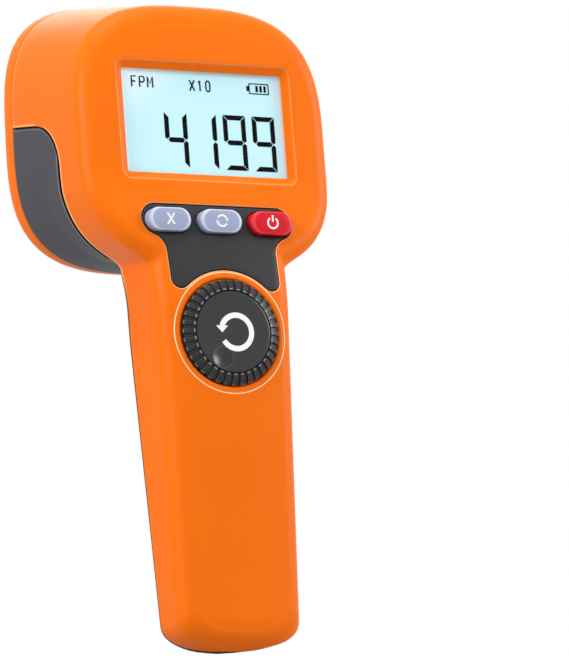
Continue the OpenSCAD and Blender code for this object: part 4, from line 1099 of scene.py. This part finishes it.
# keys: three pills in a row, with a painted highlight along the crest of their edge
keys = {
    "pitch": 18.1, "z": 135.7, "wide": 15.0, "tall": 7.6, "gap": 0.3, "proud": 2.8, "edge": 0.55, "pull": 0.9,
    "slope": 1.0, "foot": 2.2, "crown": 0.16, "crownRun": 1.9,
    "wear": (0, 0, 0, 0.05, 0.12, 0.25, 0.45, 0.6, 0.45, 0.2, 0, 0, 0, 0),
}
key = SimpleNamespace(**keys)


# a pill: two half circles moved apart, closer together by a pull
def pillLoop(x, grow, pull=0.0, count=72):
    run = (key.wide - key.tall) / 2 - pull
    r = key.tall / 2 + grow
    a = (np.arange(count) + 0.5) / count * turn
    return np.stack([x + np.sign(np.cos(a)) * run + r * np.cos(a), key.z + r * np.sin(a)], 1)


# the panel follows the face a little below it, with a rounded edge and three pill holes
def panelDepth(x, z):
    return faceDepth(x, z) + panel.sunk


def buildKeyPanel():
    places = [k * key.pitch for k in (-1, 0, 1)]
    holes = [pillLoop(x, key.gap + panel.hole[0][0]) for x in places]
    loose = staggered(-27, 27, 112, 142, panel.pitch)
    flat, faces = fillSheet(panelOutline(panel.edge[0][0]), holes, loose, panel.gap)
    parts = [(laid(flat, panelDepth), faces), sunkCollar(panel.edge, panelOutline, panelDepth)]
    parts += [sunkCollar(panel.hole, lambda grow: pillLoop(x, key.gap + grow), panelDepth) for x in places]
    return makePiece("keyPanel", parts, "panel", "casing", ["control_panel"],
                     middle=(0, 5, 130))


buildKeyPanel()
keyTop = float(faceDepth(0.0, key.z)) - key.proud


# a key: pill loops rise from its foot, turn in over a rounded edge that is wider at the ends, and close in a
# slightly crowned top
def buildKey(name, column, finish, body, node):
    top = keyTop + key.crown
    steps = [(0.0, 0.0, keyTop + key.proud + key.foot), (0.0, 0.0, top + key.slope + 0.1)]
    for a in np.linspace(0, quarter, 8):
        inward = 1 - math.cos(a)
        steps.append((-key.edge * inward, key.pull * inward, top + key.slope * (1 - math.sin(a))))
    for u in (0.12, 0.4, 0.7, 1.0):
        steps.append((-key.edge - u * key.crownRun, key.pull, keyTop + key.crown * (1 - u) ** 2))
    loops = [laid(pillLoop(column * key.pitch, grow, pull), d) for grow, pull, d in steps]
    # a painted highlight along the crest of the rounded edge
    parts = [collar(loops, key.wear), fan(loops[0][::-1]), fan(loops[-1])]
    return makePiece(name, parts, finish, body, [node], sharp=40)


buildKey("rangeKey", -1, "keyGrey", "range_key", "range_button")
buildKey("modeKey", 0, "keyGrey", "mode_key", "mode_button")
buildKey("powerKey", 1, "keyRed", "power_key", "power_button")

# white marks on the keys: a cross, a pair of turning arrows, a broken ring with a bar
keyMarks = {
    "line": 0.6, "cross": 1.2, "crossTall": 1.8, "ring": 1.75, "sunk": -0.06, "stand": 0.05, "shy": 0.03,
    "turnFrom": 20, "turnTo": 150, "headBack": 0.1, "headLong": 0.85, "headWide": (1.35, 0.02),
    "powerFrom": 125, "powerTo": 415, "barLow": 0.35, "barOver": 0.75,
}


# each mark is made of strokes along arcs and lines, and the cross is one plate
def buildKeyMark(name, column, kind, body):
    k = SimpleNamespace(**keyMarks)
    parts = []

    def place(x, z, lift):
        return solid(column * key.pitch + x, keyTop + k.shy - lift, key.z + z)

    def stroke(path, width=k.line):
        parts.append(ribbon(path, width, k.sunk, k.stand, place))

    if kind == "cross":
        w, t, h = k.cross, k.crossTall, k.line * 0.62
        arm = [(0, h * 1.2), (w - h, t), (w + h, t), (h * 0.9, 0)]
        right = arm + [(x, -z) for x, z in arm[::-1]][1:]
        parts.append(plate(right + [(-x, z) for x, z in right[::-1][1:-1]], k.sunk, k.stand, place))
    elif kind == "turn":
        for s in (0, 180):
            stroke(arc(0, 0, k.ring, s + k.turnFrom, s + k.turnTo, 28))
            tip = math.radians(s + k.turnFrom)
            at = np.array([math.cos(tip), math.sin(tip)]) * k.ring
            along = np.array([math.sin(tip), -math.cos(tip)])
            stroke([at - along * k.headBack, at + along * k.headLong], k.headWide)
    else:
        stroke(arc(0, 0, k.ring, k.powerFrom, k.powerTo, 48))
        stroke([(0, k.barLow), (0, k.ring + k.barOver)])
    return makePiece(name, parts, "white", body, sharp=20)


buildKeyMark("rangeMark", -1, "cross", "range_key")
buildKeyMark("modeMark", 0, "turn", "mode_key")
buildKeyMark("powerMark", 1, "power", "power_key")
print("keys done")


# dial: sizes of the grooved knob and of its cap with the finger dimple
dial = {
    "round": 16.9, "rim": 13.35, "bore": 4.0, "low": 1.2, "side": -0.7, "top": -2.4, "bulge": 0.22,
    "inner": 1.3, "grooves": 36, "grooveDeep": 0.66, "grooveShare": 0.5, "grooveEdge": 0.07,
    "capRound": 13.1, "capTop": -2.3,
    "capEdge": ((0.0, 1.2), (0.0, 0.35), (0.1, 0.12), (0.35, 0.02)), "dimpleRound": 3.5, "dimpleDeep": 0.8,
    "dimpleAngle": 244.0, "dimpleReach": 9.2,
}
knob = SimpleNamespace(**dial)


# a profile turned about the axis, whose sloping side is cut by grooves that fade at both ends; the teeth's
# ends and edges carry painted highlights
def buildDialKnob():
    t = np.linspace(0, 1, 22)
    slope = slice(3, 3 + len(t))
    slopeD = blendTo(knob.side, knob.top, t) - knob.bulge * np.sin(t * math.pi)
    reach = np.concatenate([
        [knob.bore, knob.round - 0.3, knob.round], blendTo(knob.round, knob.rim, t),
        [knob.rim - 0.05, knob.rim - 0.1, knob.bore]])
    depth = np.concatenate([
        [knob.low, knob.low, knob.low - 0.3], slopeD,
        [knob.top + 0.12, knob.top + knob.inner, knob.top + knob.inner]])
    # painted highlights at the teeth's inner and outer ends and along their edges
    cut, toothEndHighlight, toothEdgeHighlight = np.zeros((3, len(reach), 1))
    cut[2] = 0.8
    cut[slope, 0] = (smoothStep(t / 0.04) * 0.2 + 0.8) * smoothStep((1 - t) / 0.12)
    toothEndHighlight[slope, 0] = np.maximum(smoothStep(1 - t / 0.1) * 0.55, smoothStep(1 - np.abs(t - 0.9) / 0.1))
    toothEdgeHighlight[slope, 0] = 0.4 * smoothStep((1 - t) / 0.1)
    count = knob.grooves * 20
    a = np.arange(count)[None] / count * turn
    off = np.abs((a * knob.grooves / turn) % 1 - 0.5)
    groove = smoothStep((knob.grooveShare / 2 - off) / knob.grooveEdge + 0.5)
    ridge = np.clip(1 - np.abs(off - knob.grooveShare / 2 - 0.05) / 0.06, 0, 1)
    lean = math.atan2(knob.round - knob.rim, knob.side - knob.top)
    deep = knob.grooveDeep * cut * groove
    r = reach[:, None] - deep * math.cos(lean)
    d = depth[:, None] + deep * math.sin(lean) * (np.arange(len(reach)) > 2)[:, None]
    wear = np.maximum(toothEndHighlight * (1 - groove), toothEdgeHighlight * ridge)
    points = solid(r * np.cos(a), d, case.dialZ + r * np.sin(a))
    part = gridFaces(points, closeU=True, closeV=True) + (wear.ravel(),)
    return makePiece("dialKnob", [part], "dial", "dial", ["dial_knob"], sharp=32)


# cap: a flat disc with a round-edged border and a bowl for the fingertip, its rim ringed by a painted
# highlight
def buildDialCap():
    edgeIn, edgeDrop = np.array(knob.capEdge).T
    reach = np.concatenate([knob.capRound - edgeIn, np.linspace(knob.capRound - 0.7, 0, 64)])[:, None]
    depth = np.concatenate([edgeDrop, np.zeros(64)])[:, None]
    a = np.arange(220)[None] / 220 * turn
    x, z = reach * np.cos(a), reach * np.sin(a)
    angle = math.radians(knob.dimpleAngle)
    away = np.hypot(x - knob.dimpleReach * math.cos(angle), z - knob.dimpleReach * math.sin(angle))
    away = away / knob.dimpleRound
    bowl = knob.dimpleDeep * np.clip(1 - away ** 2, 0, 1) ** 0.9 * (np.arange(len(reach)) > 2)[:, None]
    points = solid(x, knob.capTop + depth + bowl, case.dialZ + z)
    # painted highlight round the rim of the dimple
    rim = smoothStep(1 - np.abs(away - 1) / 0.1) * 0.5 * (reach < knob.capRound - 0.5)
    parts = [gridFaces(points, closeV=True) + (rim.ravel(),), fan(points[0][::-1])]
    return makePiece("dialCap", parts, "cap", "dial", ["dial_cap"], sharp=40)


buildDialKnob()
buildDialCap()

# printed marks of the dial: a turning arrow on the cap, a thin pale ring on the casing round the well
dialMarks = {
    "x": 1.0, "z": -0.1, "ring": 5.35, "line": 1.75, "start": 213.0, "end": 520.0, "headWide": (4.2, 0.02),
    "headLong": 2.1, "headBack": 0.1, "sunk": -0.04, "stand": 0.05, "casingRing": 19.5, "casingLine": 0.36,
    "bevel": 0.03,
}
marks = SimpleNamespace(**dialMarks)


# a stroke round most of a circle, with a short tapered stroke as its head
def buildDialArrow():
    path = arc(0, 0, marks.ring, marks.start, marks.end, 90)

    def place(x, z, lift):
        return solid(marks.x + x, knob.capTop - lift, case.dialZ + marks.z + z)

    head = [path[-1] + [0, marks.headBack], path[-1] + [0, -marks.headLong]]
    parts = [ribbon(path, marks.line, marks.sunk, marks.stand, place),
             ribbon(head, marks.headWide, marks.sunk, marks.stand + 0.01, place)]
    return makePiece("dialArrow", parts, "white", "dial", sharp=20)


# four circles laid on the face, joined into a closed band
def buildCasingRing():
    reach = marks.casingLine / 2
    steps = [(-reach, -marks.sunk), (marks.bevel - reach, -marks.stand), (reach - marks.bevel, -marks.stand),
             (reach, -marks.sunk), (-reach, -marks.sunk)]
    band = sunkCollar(steps, lambda grow: circle(0, case.dialZ, marks.casingRing + grow, 288), faceDepth)
    return makePiece("casingRing", [band], "pale", "casing", sharp=60)


buildDialArrow()
buildCasingRing()
print("dial done")


# the pieces kept from the solids get their finishes
nodeFinishes = {
    "steel": ["bezel_screws", "case_screws", "board_screws", "encoder_shaft", "battery_springs"],
    "rubber": ["lens_gasket"], "mirror": ["reflector"], "window": ["display_window"],
    "sleeve": ["battery_cells"], "whiteBoard": ["led_board"], "greenBoard": ["main_board"],
    "leadRed": ["battery_leads"], "alloy": ["heat_spreader", "lamp_standoffs"],
    "brass": ["encoder_bush", "battery_contacts"], "whitePlastic": ["lcd_backlight", "lcd_holder"],
    "blackPlastic": ["board_link", "range_plunger", "mode_plunger", "power_plunger", "switch_bodies",
                     "encoder_body", "battery_tray"],
}
for finish, nodes in nodeFinishes.items():
    for node in nodes:
        mesh = cadNodes[node].data
        mesh.materials.clear()
        mesh.materials.append(finishes[finish])


# floor: pale from above, see-through from below and far off, because the camera looks up past it
stage = {
    "half": 3.0, "drop": 0.0004, "paint": (0.82, 0.82, 0.81, 1.0), "fadeFrom": 0.3, "fadeTo": 1.1,
    "worldLight": 0.55,
}


def buildFloor():
    u = np.linspace(-1, 1, 3) * stage["half"]
    x, y = np.meshgrid(u, u)
    points, faces = gridFaces(np.stack([x, y, np.full_like(x, -stage["drop"])], -1))
    mesh = bpy.data.meshes.new("floor")
    mesh.from_pydata(points.tolist(), [], faces)
    floor = bpy.data.objects.new("floor", mesh)
    bpy.context.scene.collection.objects.link(floor)
    if mesh.polygons[0].normal.z < 0:
        mesh.flip_normals()
    material, place = newFinish("paleFloor")
    paint = place.noise(3, 2).between(scaled(stage["paint"], 0.98), scaled(stage["paint"], 1.02))
    top = place.node("ShaderNodeBsdfPrincipled", None, {"Base Color": paint, "Roughness": 0.8})
    clear = place.node("ShaderNodeBsdfTransparent")
    under = place.node("ShaderNodeNewGeometry", out="Backfacing")
    away = place.node("ShaderNodeVectorMath", {"operation": "LENGTH"}, {0: place}, out="Value")
    hidden = under.maths("MAXIMUM", under, away.rise(stage["fadeFrom"], stage["fadeTo"]))
    outFinish(place.node("ShaderNodeMixShader", None, {0: hidden, 1: top, 2: clear}))
    mesh.materials.append(material)
    floor.visible_diffuse = False  # the underside sees the pale room, as over a white table


# the room: plain soft light, and white wherever the camera, a gloss or a pane looks at it
def buildRoom():
    world = bpy.data.worlds.new("studio")
    bpy.context.scene.world = world
    world.use_nodes = True
    world.node_tree.nodes.clear()
    path = seen = Wire(world.node_tree).node("ShaderNodeLightPath", out="Is Camera Ray")
    for name in ("Is Glossy Ray", "Is Transmission Ray"):
        seen = seen.maths("MAXIMUM", seen, path.also(name))
    dim, white = [path.node("ShaderNodeBackground", None, {"Color": (1, 1, 1, 1), "Strength": strength})
                  for strength in (stage["worldLight"], 1.0)]
    both = path.node("ShaderNodeMixShader", None, {0: seen, 1: dim, 2: white})
    path.node("ShaderNodeOutputWorld", None, {"Surface": both})


buildFloor()
buildRoom()

# soft lamps: where each stands, its width and its power
lamps = {
    "keyLamp": ((-1.15, -0.38, 0.6), 0.6, 9.1),
    "fillLamp": ((1.1, -0.55, 0.5), 0.6, 8.2),
    "topLamp": ((-0.15, -0.2, 1.3), 0.7, 6.0),
    "rearLamp": ((0.4, 1.0, 0.8), 0.9, 5.0),
}
aim = Vector((0, 0.01, 0.13))
for name, (spot, width, power) in lamps.items():
    light = bpy.data.lights.new(name, "AREA")
    light.shape, light.size, light.energy = "DISK", width, power
    lamp = bpy.data.objects.new(name, light)
    bpy.context.scene.collection.objects.link(lamp)
    turned = (Vector(spot) - aim).to_track_quat("Z", "Y").to_matrix().to_4x4()
    lamp.matrix_world = Matrix.Translation(spot) @ turned

# camera: below the dial and to its left, as in the picture; frame is 569 by 660
view = {
    "yaw": math.radians(28.18), "pitch": math.radians(9.44), "roll": math.radians(-3.1), "away": 1600.0,
    "scale": 3.1717, "dial": (230.33, 332.73), "frame": (569, 660), "lens": 276.8,
    "sensor": 36, "clip": (0.1, 20),
}


# yaw, pitch and roll give three axes; it stands back from the dial and aside by the dial's place in frame
def buildCamera():
    v = SimpleNamespace(**view)
    ahead = np.array([
        math.sin(v.yaw) * math.cos(v.pitch), math.cos(v.yaw) * math.cos(v.pitch), math.sin(v.pitch)])
    right = np.array([math.cos(v.yaw), -math.sin(v.yaw), 0])
    up = np.cross(right, ahead)
    side = right * math.cos(v.roll) + up * math.sin(v.roll)
    top = up * math.cos(v.roll) - right * math.sin(v.roll)
    x = (v.dial[0] - v.frame[0] / 2) / v.scale
    y = (v.frame[1] / 2 - v.dial[1]) / v.scale
    spot = np.array([0, case.frontY, case.dialZ]) - ahead * v.away - side * x - top * y
    camera = bpy.data.cameras.new("camera")
    camera.sensor_fit, camera.sensor_height, camera.lens = "VERTICAL", v.sensor, v.lens
    camera.clip_start, camera.clip_end = v.clip
    stand = bpy.data.objects.new("camera", camera)
    bpy.context.scene.collection.objects.link(stand)
    axes = np.eye(4)
    axes[:3] = np.stack([side, top, -ahead, spot * mm], 1)
    stand.matrix_world = Matrix(axes.tolist())
    bpy.context.scene.camera = stand


buildCamera()
bpy.context.scene.view_settings.view_transform = "Standard"
print("stage, lamps and camera done")

bpy.context.view_layer.update()
